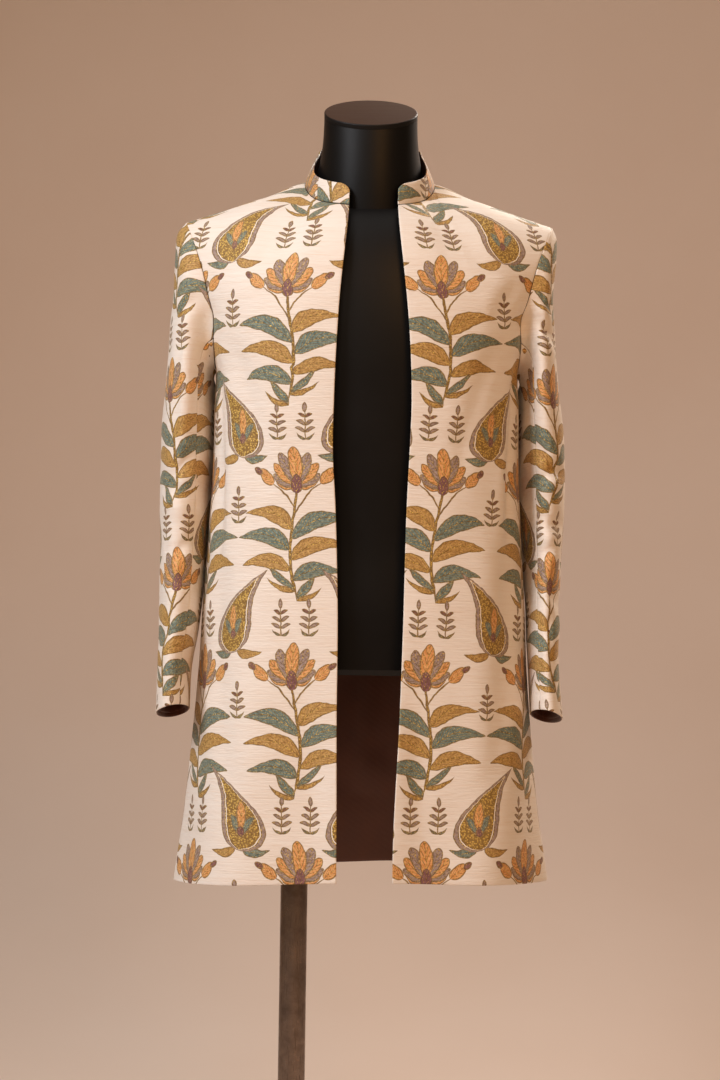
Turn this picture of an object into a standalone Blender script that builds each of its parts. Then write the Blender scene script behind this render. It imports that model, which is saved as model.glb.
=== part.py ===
"""A sherwani coat on a limbless dress form with a round stand.

Metres, +Z up. The origin is under the middle of the base plate, the coat's front faces -Y and
the wearer's left is +X. The cloth is built the way it is cut: two fronts, a back, two-piece
sleeves, a stand collar in three pieces and the sleeve linings that show inside the cuffs. Each
piece is a wall two millimetres thick (one for the linings), and it ends a seam gap short of the
piece it is sewn to.
"""

import math

import bmesh
import bpy
import numpy as np

COLLECTION = "sherwani_coat_on_dress_form"

WALL = 0.002  # outer cloth, interlining and lining pressed together
LINING_WALL = 0.001
GAP = 0.0003  # left between two pieces at a seam
SLEEVE_SEAM_HALF_GAP = 0.0003  # each side of a sleeve seam, whose edges twist a little
RIDGE_CLEARANCE = 0.0006  # between the form's shoulders and the coat's inside

# The body of the coat, as level sections: half a rounded oval for the front and half for the back.
OVAL_FULLNESS = 0.029  # how far the ovals are squared off at their corners
BODY_COLUMNS = ("height", "half_width", "front_depth", "back_depth")
BODY_SECTIONS = [
    (0.560, 0.2425, 0.1505, 0.154),
    (0.580, 0.2405, 0.150, 0.152),
    (0.670, 0.2290, 0.147, 0.146),
    (0.760, 0.2205, 0.144, 0.139),
    (0.850, 0.2130, 0.141, 0.132),
    (0.940, 0.2085, 0.138, 0.124),
    (1.030, 0.2025, 0.136, 0.117),
    (1.110, 0.1985, 0.137, 0.113),
    (1.180, 0.1975, 0.140, 0.116),
    (1.235, 0.1990, 0.143, 0.1205),
    (1.280, 0.2120, 0.1432, 0.1232),
    (1.310, 0.2180, 0.1415, 0.1230),
    (1.330, 0.2220, 0.1390, 0.1218),
]
HEM = 0.580
FRONT_HEM_RISE = 0.017  # the hem lifts evenly from the side seam to the front edge
UNDERARM = 1.235
YOKE_FOOT = 1.300  # above this the cloth rounds over the shoulder
SHOULDER_POINT = (0.237, 1.428)  # x and z of the sleeve seam's top
ARMHOLE_REACH = 0.067  # half the armhole's width, front to back
ARMHOLE_BELLY = 0.15  # how far the armhole's widest place sits below its middle

# How far each front edge stands from the middle, by height.
EDGE_COLUMNS = ("height", "wearer_right", "wearer_left")
FRONT_EDGES = [
    (0.560, 0.0290, 0.0405),
    (0.640, 0.0295, 0.0400),
    (0.800, 0.0315, 0.0460),
    (0.932, 0.0323, 0.0492),
    (1.050, 0.0364, 0.0510),
    (1.145, 0.0414, 0.0543),
    (1.180, 0.0410, 0.0554),
    (1.240, 0.0395, 0.0540),
    (1.300, 0.0370, 0.0500),
    (1.350, 0.0340, 0.0440),
]

# The neckline: an oval in plan whose height follows its depth.
NECK_HALF_WIDTH = 0.0845
NECK_FRONT_DEPTH = 0.0941
NECK_BACK_DEPTH = 0.0720
NECK_COLUMNS = ("y", "height")
NECK_HEIGHTS = [
    (-0.095, 1.4405),
    (-0.088, 1.4425),
    (-0.050, 1.4555),
    (-0.030, 1.4660),
    (0.000, 1.4810),
    (0.030, 1.4915),
    (0.055, 1.4955),
    (0.072, 1.4965),
]
NECK_ENDS = {"wearer_right": 0.0260, "wearer_left": 0.0360}  # front edges at the neckline
COLLAR_SEAMS = {"wearer_right": 0.0670, "wearer_left": 0.0750}  # x of the collar's seams

RIDGE_COLUMNS = ("x", "height")
SHOULDER_RIDGE = [
    (0.0845, 1.4810),
    (0.0970, 1.4780),
    (0.1120, 1.4725),
    (0.1250, 1.4670),
    (0.1500, 1.4570),
    (0.1760, 1.4480),
    (0.2000, 1.4400),
    (0.2200, 1.4335),
    (0.2370, 1.4280),
]

# Fullness of the yoke's rise from chest to shoulder, from the front edge (0) to the armhole (1).
YOKE_COLUMNS = ("across", "fullness")
YOKE_RISE = [(0.00, 1.05), (0.20, 1.12), (0.42, 1.20), (0.70, 1.24), (1.00, 1.27)]
NECK_RISE = 40.0  # degrees the cloth rises to the neckline at the middle
NECK_SIDE_RISE = 14.0  # and at the side of the neck
NECK_SIDE_PITCH = 0.45  # how steeply the side of the neck rises towards the back
NECK_PITCH_FADE = 0.075  # the length of shoulder seam over which that pitch fades

# Where each grid of cloth is divided.
COLLAR_FRONT_COLUMNS = 4
NECK_PART_COLUMNS = 6
HALF_COLUMNS = 13
SKIRT_ROWS = 10
ARMHOLE_ROWS = 4
YOKE_ROWS = 7

# The sleeves, from the armhole down, as tilted ovals. The first row is the armhole itself.
SLEEVE_COLUMNS = ("outer_z", "inner_z", "outer_x", "inner_x", "centre_y", "half_depth", "pitch")
SLEEVES = {
    "wearer_right": [
        (1.428, 1.235, 0.2370, 0.1990, 0.000, 0.067, 0.00),
        (1.412, 1.231, 0.2485, 0.2015, 0.001, 0.069, 0.00),
        (1.382, 1.223, 0.2508, 0.2040, 0.003, 0.073, 0.00),
        (1.335, 1.210, 0.2532, 0.2055, 0.005, 0.077, 0.00),
        (1.270, 1.190, 0.2577, 0.2048, 0.006, 0.078, 0.00),
        (1.205, 1.165, 0.2628, 0.2038, 0.008, 0.077, 0.00),
        (1.140, 1.125, 0.2667, 0.2034, 0.010, 0.074, 0.02),
        (1.075, 1.070, 0.2668, 0.2042, 0.009, 0.070, 0.05),
        (1.015, 1.013, 0.2656, 0.2064, 0.005, 0.067, 0.08),
        (0.955, 0.956, 0.2650, 0.2100, -0.005, 0.065, 0.12),
        (0.900, 0.903, 0.2654, 0.2155, -0.018, 0.063, 0.15),
        (0.850, 0.856, 0.2660, 0.2226, -0.031, 0.061, 0.18),
        (0.793, 0.803, 0.2660, 0.2236, -0.045, 0.059, 0.195),
    ],
    "wearer_left": [
        (1.428, 1.235, 0.2370, 0.1990, 0.000, 0.067, 0.00),
        (1.412, 1.231, 0.2430, 0.2020, 0.001, 0.069, 0.00),
        (1.382, 1.223, 0.2425, 0.2045, 0.003, 0.073, 0.00),
        (1.335, 1.210, 0.2400, 0.2055, 0.005, 0.077, 0.00),
        (1.270, 1.190, 0.2440, 0.2052, 0.006, 0.078, 0.00),
        (1.205, 1.165, 0.2510, 0.2050, 0.008, 0.077, 0.00),
        (1.140, 1.125, 0.2583, 0.2060, 0.010, 0.074, 0.02),
        (1.075, 1.070, 0.2588, 0.2078, 0.009, 0.070, 0.05),
        (1.015, 1.013, 0.2562, 0.2103, 0.005, 0.067, 0.08),
        (0.955, 0.956, 0.2536, 0.2127, -0.005, 0.065, 0.12),
        (0.900, 0.903, 0.2532, 0.2145, -0.018, 0.063, 0.15),
        (0.850, 0.856, 0.2552, 0.2168, -0.031, 0.061, 0.18),
        (0.793, 0.803, 0.2600, 0.2190, -0.045, 0.059, 0.195),
    ],
}
ARMHOLE_HOLD = (1.0, 0.60, 0.30, 0.10)  # how much the first sleeve rings keep the armhole's shape
UNDER_SLEEVE_HALF = 3  # columns of the under sleeve on each side of the underarm
LINING_STEPS = (11.9, 11.5, 11.0, 10.5, 10.0)  # sleeve rows, from the cuff up

# The stand collar, by the angle round the neck from the front.
COLLAR_COLUMNS = ("angle", "height", "lean")
COLLAR_STAND = [
    (10.0, 0.027, 8.0),
    (40.0, 0.0275, 5.0),
    (60.0, 0.030, 4.0),
    (75.0, 0.035, 15.0),
    (90.0, 0.0405, 24.0),
    (110.0, 0.0425, 22.0),
    (140.0, 0.044, 16.0),
    (180.0, 0.045, 14.0),
]
COLLAR_END_HEIGHT = 0.016
COLLAR_END_ROUND = 0.016
COLLAR_ROWS = 3

# The dress form: a slimmer body, with rounded ends where the arms would be.
FORM_COLUMNS = ("height", "half_width", "front_depth", "back_depth")
FORM_SECTIONS = [
    (0.800, 0.160, 0.100, 0.090),
    (0.850, 0.168, 0.106, 0.096),
    (0.920, 0.172, 0.112, 0.100),
    (1.010, 0.166, 0.111, 0.095),
    (1.100, 0.168, 0.116, 0.093),
    (1.180, 0.174, 0.122, 0.098),
    (1.250, 0.180, 0.126, 0.104),
    (1.300, 0.184, 0.126, 0.108),
    (1.330, 0.187, 0.124, 0.110),
]
FORM_FOOT = 0.850
FORM_SHOULDER_X = 0.196
FORM_ROUND_FROM = 0.170
FORM_END_DROP = 0.010
FORM_ROWS = 8
FORM_YOKE_ROWS = 7
FORM_CREST = 12.0  # degrees the form falls away on each side of its shoulder ridge
FORM_FULLNESS = 0.94  # of the coat's own rise from chest to shoulder
FORM_NECK_HALF_WIDTH = 0.0755
FORM_NECK_FRONT = 0.0810
FORM_NECK_BACK = 0.0610
FORM_NECK_DROP = 0.0065
FORM_NECK_SHOULDER = 0.045  # how far out from the neck the ridge's own drop fades
NECK_TOP = {"y": -0.030, "z": 1.5640, "half_width": 0.0600, "half_depth": 0.0610, "tilt": 26.0}
NECK_ROWS = 5
CAP_THICKNESS = 0.006

POLE_X = -0.085
POLE_RADIUS = 0.0175
PLATE_RADIUS = 0.210
PLATE_THICKNESS = 0.009
SOCKET_RADIUS = 0.030
SOCKET_HEIGHT = 0.045
FLANGE_RADIUS = 0.052
FLANGE_THICKNESS = 0.006
FLANGE_SLEEVE_RADIUS = 0.0235
FLANGE_SLEEVE_LENGTH = 0.040
EDGE_BREAK = 0.0015
ROUND_STEPS = 48


def columns(names, rows):
    """A table's columns by name."""
    return dict(zip(names, np.array(rows, float).T))


def smooth(at, known_at, known):
    """A smooth curve through a table's column: cubic between rows, with slopes from the neighbours."""
    slopes = np.gradient(known, known_at)
    k = np.clip(np.searchsorted(known_at, at) - 1, 0, len(known_at) - 2)
    span = known_at[k + 1] - known_at[k]
    t = (at - known_at[k]) / span
    return (
        (1 + 2 * t) * (1 - t) ** 2 * known[k]
        + t * (1 - t) ** 2 * span * slopes[k]
        + t**2 * (3 - 2 * t) * known[k + 1]
        + t**2 * (t - 1) * span * slopes[k + 1]
    )


BODY = columns(BODY_COLUMNS, BODY_SECTIONS)
EDGES = columns(EDGE_COLUMNS, FRONT_EDGES)
NECK = columns(NECK_COLUMNS, NECK_HEIGHTS)
RIDGE = columns(RIDGE_COLUMNS, SHOULDER_RIDGE)
YOKE = columns(YOKE_COLUMNS, YOKE_RISE)
COLLAR = columns(COLLAR_COLUMNS, COLLAR_STAND)
FORM = columns(FORM_COLUMNS, FORM_SECTIONS)


def oval(angle):
    """Across and along on the rounded oval, each 0 to 1, for an angle from the middle to the side."""
    across = (np.sin(angle) + OVAL_FULLNESS * np.sin(3 * angle)) / (1 - OVAL_FULLNESS)
    along = (np.cos(angle) - OVAL_FULLNESS * np.cos(3 * angle)) / (1 - OVAL_FULLNESS)
    return across, along


QUARTER = np.linspace(0, math.pi / 2, 721)
QUARTER_ACROSS, QUARTER_ALONG = oval(QUARTER)


def angle_across(value):
    return np.interp(value, QUARTER_ACROSS, QUARTER)


def angle_along(value):
    return np.interp(value, QUARTER_ALONG[::-1], QUARTER[::-1])


def armhole_reach(height):
    """How far the armhole stands in front of the side seam's plane at a height: an egg on its point."""
    rise = SHOULDER_POINT[1] - UNDERARM
    turn = np.arccos(np.clip(1 - 2 * (height - UNDERARM) / rise, -1, 1))
    return ARMHOLE_REACH * np.sin(turn) * (1 + ARMHOLE_BELLY * np.cos(turn))


def armhole_height(turn):
    return UNDERARM + (SHOULDER_POINT[1] - UNDERARM) * (1 - np.cos(turn)) / 2


def unit(vectors):
    return vectors / np.linalg.norm(vectors, axis=-1, keepdims=True)


def level_points(across, level, facing, edge, table, open_armhole):
    """Points on the level sections, across from 0 (the middle or front edge) to 1 (the side)."""
    rise = FRONT_HEM_RISE * (1 - across) if edge else 0 * across
    height = level + rise * (YOKE_FOOT - level) / (YOKE_FOOT - HEM)
    half_width = smooth(height, table["height"], table["half_width"])
    depth = smooth(height, table["height"], table["front_depth" if facing < 0 else "back_depth"])
    start = 0 * height
    if edge:
        start = angle_across(smooth(height, EDGES["height"], EDGES[edge]) / half_width)
    finish = 0 * height + math.pi / 2
    if open_armhole:
        reach = armhole_reach(height) / depth
        finish = np.where(height <= UNDERARM, finish, angle_along(reach))
    out, along = oval(start + (finish - start) * across)
    return np.stack([half_width * out, facing * depth * along, height], axis=-1)


def rising_rows(foot, slope, top, top_slope, fullness, steps):
    """Rows of a cubic rise from a foot to a top, with the direction given at both ends."""
    length = np.linalg.norm(top - foot, axis=-1, keepdims=True) * fullness[:, None]
    w = np.linspace(0, 1, steps + 1)[1:, None, None]
    return (
        (1 + 2 * w) * (1 - w) ** 2 * foot
        + w * (1 - w) ** 2 * length * slope
        + w**2 * (3 - 2 * w) * top
        + w**2 * (w - 1) * length * top_slope
    )


def neckline(angle, facing, half_width, depth):
    """Points of the neckline, by the angle from the middle to the side of the neck."""
    y = facing * depth * np.cos(angle)
    return np.stack([half_width * np.sin(angle), y, smooth(y, NECK["y"], NECK["height"])], axis=-1)


def neck_angles(edge):
    """The neckline's column angles: to the collar seam, then to the side of the neck."""
    end = math.asin(NECK_ENDS[edge] / NECK_HALF_WIDTH) if edge else 0.0
    seam = math.asin(COLLAR_SEAMS[edge] / NECK_HALF_WIDTH) if edge else None
    at = [0, NECK_PART_COLUMNS] if seam is None else [0, COLLAR_FRONT_COLUMNS, NECK_PART_COLUMNS]
    turn = [end, math.pi / 2] if seam is None else [end, seam, math.pi / 2]
    return np.interp(np.arange(NECK_PART_COLUMNS + 1), at, turn)


def yoke_slopes(neck, angles, seam_x, facing):
    """Directions in which the yoke reaches its top row, front to back or back to front.

    At the neckline each lies in the plane of the neckline's tangent and of the cloth's rise
    towards the neck. Along the shoulder seam the pitch fades to level.
    """
    tangent = np.gradient(neck, axis=0)
    tangent[-1] = (0.0, -facing, -facing * NECK_SIDE_PITCH)
    inward = unit(np.stack([-facing * tangent[:, 1], facing * tangent[:, 0], 0 * angles], axis=-1))
    inward *= -np.sign(np.sum(inward * neck, axis=-1, keepdims=True))
    rise = np.radians(NECK_SIDE_RISE + (NECK_RISE - NECK_SIDE_RISE) * np.cos(angles) ** 2)[:, None]
    normal = np.cross(tangent, np.cos(rise) * inward + np.sin(rise) * np.array([0.0, 0.0, 1.0]))
    at_neck = facing * normal[:, 1] / normal[:, 2]
    faded = np.clip((seam_x - NECK_HALF_WIDTH) / NECK_PITCH_FADE, 0, 1)
    at_seam = -facing * NECK_SIDE_PITCH * (1 - faded) ** 2 * (1 + 2 * faded)
    climb = np.concatenate([at_neck, at_seam])
    return unit(np.stack([0 * climb, -facing + 0 * climb, climb], axis=-1))


def half_panel(facing, edge):
    """Half a body panel on +X, from its hem to its shoulder seam, as rows of points."""
    across = np.linspace(0, 1, HALF_COLUMNS + 1)
    foot_turn = math.acos(1 - 2 * (YOKE_FOOT - UNDERARM) / (SHOULDER_POINT[1] - UNDERARM))
    skirt = np.linspace(HEM, UNDERARM, SKIRT_ROWS + 1)
    armhole = armhole_height(np.linspace(0, foot_turn, ARMHOLE_ROWS + 1)[1:])
    levels = np.concatenate([skirt, armhole])[:, None]
    lower = level_points(across[None, :], levels, facing, edge, BODY, True)
    step = 1e-4
    below = level_points(across, YOKE_FOOT - step, facing, edge, BODY, True)
    slope = unit(lower[-1] - below)
    depth = NECK_FRONT_DEPTH if facing < 0 else NECK_BACK_DEPTH
    neck = neckline(neck_angles(edge), facing, NECK_HALF_WIDTH, depth)
    seam_x = np.linspace(NECK_HALF_WIDTH, SHOULDER_POINT[0], HALF_COLUMNS - NECK_PART_COLUMNS + 1)[1:]
    seam_z = smooth(seam_x, RIDGE["x"], RIDGE["height"])
    top = np.concatenate([neck, np.stack([seam_x, 0 * seam_x, seam_z], axis=-1)])
    top_slope = yoke_slopes(neck, neck_angles(edge), seam_x, facing)
    fullness = smooth(across, YOKE["across"], YOKE["fullness"])
    upper = rising_rows(lower[-1], slope, top, top_slope, fullness, YOKE_ROWS)
    return np.concatenate([lower, upper])


def outward(grid, around=False):
    """Unit normals of a grid of points, pointing away from the grid's own upright axis."""
    if around:
        along_row = np.roll(grid, -1, axis=1) - np.roll(grid, 1, axis=1)
    else:
        along_row = np.gradient(grid, axis=1)
    return unit(np.cross(along_row, np.gradient(grid, axis=0)))


def mirrored(grid):
    """The same panel on the other side of the body."""
    return grid * np.array([-1.0, 1.0, 1.0])


def add_to_collection(obj, color, roughness, metallic=0.0):
    material = bpy.data.materials.new(obj.name)
    material.use_nodes = True
    shader = material.node_tree.nodes["Principled BSDF"]
    shader.inputs["Base Color"].default_value = (*color, 1.0)
    shader.inputs["Roughness"].default_value = roughness
    shader.inputs["Metallic"].default_value = metallic
    obj.data.materials.append(material)
    for used in list(obj.users_collection):
        used.objects.unlink(obj)
    bpy.data.collections[COLLECTION].objects.link(obj)
    return obj


def mesh_object(name, points, faces):
    """One closed body from points and faces, with its doubles merged and its faces outwards."""
    mesh = bpy.data.meshes.new(name)
    mesh.from_pydata(points.tolist(), [], faces)
    work = bmesh.new()
    work.from_mesh(mesh)
    bmesh.ops.remove_doubles(work, verts=work.verts, dist=1e-6)
    bmesh.ops.recalc_face_normals(work, faces=work.faces)
    work.to_mesh(mesh)
    work.free()
    mesh.shade_smooth()
    mesh.set_sharp_from_angle(angle=math.radians(40))
    return bpy.data.objects.new(name, mesh)


def grid_faces(rows, row_points, first=0, around=False):
    """Quads between the rows of a grid, whose points are numbered row by row from first."""
    r, c = np.meshgrid(np.arange(rows - 1), np.arange(row_points - (not around)), indexing="ij")
    a = first + r * row_points + c
    b = first + r * row_points + (c + 1) % row_points
    return np.stack([a, b, b + row_points, a + row_points], axis=-1).reshape(-1, 4).tolist()


def cloth(name, outer, inner, color, around=False):
    """A cloth wall between two grids, closed along its edges, or round the ends of a tube."""
    rows, row_points = outer.shape[:2]
    count = rows * row_points
    faces = grid_faces(rows, row_points, 0, around)
    faces += [face[::-1] for face in grid_faces(rows, row_points, count, around)]
    number = np.arange(count).reshape(rows, row_points)
    if around:
        loops = [np.append(number[0], number[0, 0]), np.append(number[-1, ::-1], number[-1, -1])]
    else:
        loops = [np.concatenate([number[0], number[1:, -1], number[-1, -2::-1], number[-2::-1, 0]])]
    for loop in loops:
        for start, end in zip(loop[:-1], loop[1:]):
            faces.append([int(end), int(start), int(start) + count, int(end) + count])
    points = np.concatenate([outer.reshape(-1, 3), inner.reshape(-1, 3)])
    obj = mesh_object(name, points, faces)
    return add_to_collection(obj, color, 0.85)


def seamed(grid, normals, thickness, side):
    """Outer and inner walls of a body panel, drawn back from the seams in the y = 0 plane."""
    on_seam = np.abs(grid[..., 1]) < 1e-7
    normals = np.where(on_seam[..., None], unit(normals * np.array([1.0, 0.0, 1.0])), normals)
    inner = grid - thickness * normals
    shift = np.zeros_like(grid)
    shift[..., 1] = np.where(on_seam, side * GAP / 2, 0.0)
    return grid + shift, inner + shift


def drawn_back(grid, amount):
    """The grid with its first and last columns moved inwards along its rows."""
    moved = grid.copy()
    moved[:, 0] += amount * unit(grid[:, 1] - grid[:, 0])
    moved[:, -1] += amount * unit(grid[:, -2] - grid[:, -1])
    return moved


CLOTH_COLOR = (0.84, 0.68, 0.54)
LINING_COLOR = (0.16, 0.07, 0.035)
FORM_COLOR = (0.012, 0.011, 0.011)
STEEL_COLOR = (0.62, 0.60, 0.57)


def build_body():
    """Both fronts and the back. Returns the outer grids that the sleeves and collar are sewn to."""
    grids = {}
    for name, edge, sign in (("front_left", "wearer_left", 1), ("front_right", "wearer_right", -1)):
        half = half_panel(-1, edge)
        normals = -outward(half) if np.mean(outward(half)[..., 1]) > 0 else outward(half)
        outer, inner = seamed(half, normals, WALL, -1)
        grids[edge] = half
        if sign < 0:
            outer, inner = mirrored(outer), mirrored(inner)
        cloth(name, outer, inner, CLOTH_COLOR)
    half = half_panel(1, None)
    grids["back"] = half
    whole = np.concatenate([mirrored(half)[:, ::-1], half[:, 1:]], axis=1)
    normals = outward(whole)
    if np.mean(normals[..., 1]) < 0:
        normals = -normals
    outer, inner = seamed(whole, normals, WALL, 1)
    cloth("back", outer, inner, CLOTH_COLOR)
    return grids


def sleeve_rings(side, front, back):
    """A sleeve on +X: rings from the armhole down, each from the underarm round by the front."""
    table = columns(SLEEVE_COLUMNS, SLEEVES[side])
    first = SKIRT_ROWS
    foot_turn = math.acos(1 - 2 * (YOKE_FOOT - UNDERARM) / (SHOULDER_POINT[1] - UNDERARM))
    lower = np.linspace(0, foot_turn, ARMHOLE_ROWS + 1)
    upper = np.linspace(foot_turn, math.pi, YOKE_ROWS + 1)[1:]
    half_turn = np.concatenate([lower, upper])
    turn = np.concatenate([half_turn, 2 * math.pi - half_turn[-2:0:-1]])
    armhole = np.concatenate([front[first:, -1], back[first:, -1][-2:0:-1]])
    armhole = armhole + np.array([GAP, 0, 0])
    far = ((1 - np.cos(turn)) / 2)[None, :]
    row = {name: values[:, None] for name, values in table.items()}
    x = row["inner_x"] + (row["outer_x"] - row["inner_x"]) * far
    y = row["centre_y"] - row["half_depth"] * np.sin(turn)[None, :]
    z = row["inner_z"] + (row["outer_z"] - row["inner_z"]) * far
    z = z - row["pitch"] * (y - row["centre_y"])
    rings = np.stack([x, y, z], axis=-1)
    hold = np.zeros(len(rings))
    hold[: len(ARMHOLE_HOLD)] = ARMHOLE_HOLD
    return rings + hold[:, None, None] * (armhole - rings[0])


def build_sleeve(side, grids):
    """A top sleeve, an under sleeve and the lining inside the cuff."""
    label = "left" if side == "wearer_left" else "right"
    sign = 1 if label == "left" else -1
    rings = sleeve_rings(side, grids[side], grids["back"])
    normals = outward(rings, around=True)
    middle = rings.mean(axis=1, keepdims=True)
    if np.mean(np.sum(normals * (rings - middle), axis=-1)) < 0:
        normals = -normals
    normals[0] = unit(normals[0] * np.array([0.0, 1.0, 1.0]))
    inner = rings - WALL * normals
    around = rings.shape[1]
    under = np.arange(-UNDER_SLEEVE_HALF, UNDER_SLEEVE_HALF + 1) % around
    top = np.arange(UNDER_SLEEVE_HALF, around - UNDER_SLEEVE_HALF + 1)
    for kind, chosen in (("under_sleeve_", under), ("top_sleeve_", top)):
        walls = [drawn_back(grid[:, chosen], SLEEVE_SEAM_HALF_GAP) for grid in (rings, inner)]
        if sign < 0:
            walls = [mirrored(grid) for grid in walls]
        cloth(kind + label, walls[0], walls[1], CLOTH_COLOR)
    steps = np.array(LINING_STEPS)
    low = np.minimum(steps.astype(int), len(rings) - 2)
    part = (steps - low)[:, None, None]
    surface = rings[low] * (1 - part) + rings[low + 1] * part
    facing = unit(normals[low] * (1 - part) + normals[low + 1] * part)
    outer = surface - (WALL + GAP) * facing
    deep = outer - LINING_WALL * facing
    if sign < 0:
        outer, deep = mirrored(outer), mirrored(deep)
    cloth("cuff_lining_" + label, outer, deep, LINING_COLOR, around=True)


def build_collar(grids):
    """The stand collar in three pieces: a short front piece on each side and a long back one."""
    part = NECK_PART_COLUMNS
    right, left = mirrored(grids["wearer_right"][-1, : part + 1]), grids["wearer_left"][-1, : part + 1]
    back = grids["back"][-1, : part + 1]
    base = np.concatenate([right, mirrored(back)[-2::-1], back[1:-1], left[::-1]])
    right_turn = np.degrees(neck_angles("wearer_right"))
    left_turn = np.degrees(neck_angles("wearer_left"))
    back_turn = 180 - np.degrees(neck_angles(None))
    turn = np.concatenate([right_turn, back_turn[-2::-1], back_turn[1:-1], left_turn[::-1]])
    stand = smooth(turn, COLLAR["angle"], COLLAR["height"])
    lean = np.radians(smooth(turn, COLLAR["angle"], COLLAR["lean"]))
    lengths = np.linalg.norm(np.diff(base, axis=0), axis=1)
    run = np.concatenate([[0.0], np.cumsum(lengths)])
    to_end = np.clip(np.minimum(run, run[-1] - run) / COLLAR_END_ROUND, 0, 1)
    rounding = np.sqrt(1 - (1 - to_end) ** 2)
    stand = COLLAR_END_HEIGHT + (stand - COLLAR_END_HEIGHT) * rounding
    tangent = np.gradient(base, axis=0) * np.array([1.0, 1.0, 0.0])
    inward = unit(np.cross(tangent, np.array([0.0, 0.0, 1.0])))
    if np.sum(inward * base) > 0:
        inward = -inward
    rise = np.cos(lean)[:, None] * np.array([0.0, 0.0, 1.0]) + np.sin(lean)[:, None] * inward
    climb = np.linspace(0, 1, COLLAR_ROWS + 1)[:, None, None]
    outer = base + np.array([0.0, 0.0, GAP]) + climb * stand[:, None] * rise
    normals = outward(outer)
    if np.sum(normals * inward) > 0:
        normals = -normals
    normals[0] = unit(normals[0] * np.array([1.0, 1.0, 0.0]))
    inner = outer - WALL * normals
    first, last = COLLAR_FRONT_COLUMNS, outer.shape[1] - 1 - COLLAR_FRONT_COLUMNS
    for name, start, end in (
        ("collar_front_right", 0, first),
        ("collar_back", first, last),
        ("collar_front_left", last, outer.shape[1] - 1),
    ):
        walls = [drawn_back(grid[:, start : end + 1], GAP / 2) for grid in (outer, inner)]
        cloth(name, walls[0], walls[1], CLOTH_COLOR)


def form_half(facing):
    """Half the form on +X, as rows of points from its foot to the neck and shoulder ridge."""
    across = np.linspace(0, 1, HALF_COLUMNS + 1)
    levels = np.linspace(FORM_FOOT, YOKE_FOOT, FORM_ROWS + 1)[:, None]
    lower = level_points(across[None, :], levels, facing, None, FORM, False)
    below = level_points(across, YOKE_FOOT - 1e-4, facing, None, FORM, False)
    slope = unit(lower[-1] - below)
    depth = FORM_NECK_FRONT if facing < 0 else FORM_NECK_BACK
    neck = neckline(neck_angles(None), facing, FORM_NECK_HALF_WIDTH, depth)
    neck[:, 2] -= FORM_NECK_DROP
    ridge_x = np.linspace(FORM_NECK_HALF_WIDTH, FORM_SHOULDER_X, HALF_COLUMNS - NECK_PART_COLUMNS + 1)[1:]
    drop = WALL / np.cos(np.arctan(np.gradient(smooth(ridge_x, RIDGE["x"], RIDGE["height"]), ridge_x)))
    ridge_z = smooth(ridge_x, RIDGE["x"], RIDGE["height"]) - drop - RIDGE_CLEARANCE
    near_neck = np.clip(1 - (ridge_x - FORM_NECK_HALF_WIDTH) / FORM_NECK_SHOULDER, 0, 1)
    near_end = np.clip((ridge_x - FORM_ROUND_FROM) / (FORM_SHOULDER_X - FORM_ROUND_FROM), 0, 1)
    ridge_z = ridge_z - FORM_NECK_DROP * near_neck**2 - FORM_END_DROP * near_end**2
    top = np.concatenate([neck, np.stack([ridge_x, 0 * ridge_x, ridge_z], axis=-1)])
    top_slope = yoke_slopes(neck, neck_angles(None), ridge_x, facing)
    top_slope[len(neck):, 2] += math.tan(math.radians(FORM_CREST))
    over = np.clip((across - 0.75) / 0.25, 0, 1)[:, None] ** 2
    top_slope = unit((1 - over) * top_slope + over * np.array([-1.0, 0.0, 0.3]))
    fullness = FORM_FULLNESS * smooth(across, YOKE["across"], YOKE["fullness"])
    upper = rising_rows(lower[-1], slope, top, top_slope, fullness, FORM_YOKE_ROWS)
    return np.concatenate([lower, upper])


def neck_rings():
    """Rings from the form's neckline up to its slanted top, narrowing quickly and then slowly."""
    quarter = neck_angles(None)
    front = neckline(quarter, -1, FORM_NECK_HALF_WIDTH, FORM_NECK_FRONT)
    back = neckline(quarter, 1, FORM_NECK_HALF_WIDTH, FORM_NECK_BACK)
    foot = np.concatenate([front, back[-2::-1]])
    foot[:, 2] -= FORM_NECK_DROP
    foot = np.concatenate([foot, mirrored(foot)[-2:0:-1]])
    turn = np.concatenate([quarter, math.pi - quarter[-2::-1]])
    turn = np.concatenate([turn, 2 * math.pi - turn[-2:0:-1]])
    tilt = math.radians(NECK_TOP["tilt"])
    out = NECK_TOP["half_depth"] * np.cos(turn)
    top = np.stack(
        [
            NECK_TOP["half_width"] * np.sin(turn),
            NECK_TOP["y"] - out * math.cos(tilt),
            NECK_TOP["z"] - out * math.sin(tilt),
        ],
        axis=-1,
    )
    climb = np.linspace(0, 1, NECK_ROWS + 1)[:, None, None]
    narrowing = 1 - (1 - climb) ** 2.6
    level = foot + climb * (top - foot)
    level[..., :2] = (foot + narrowing * (top - foot))[..., :2]
    return level


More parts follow.
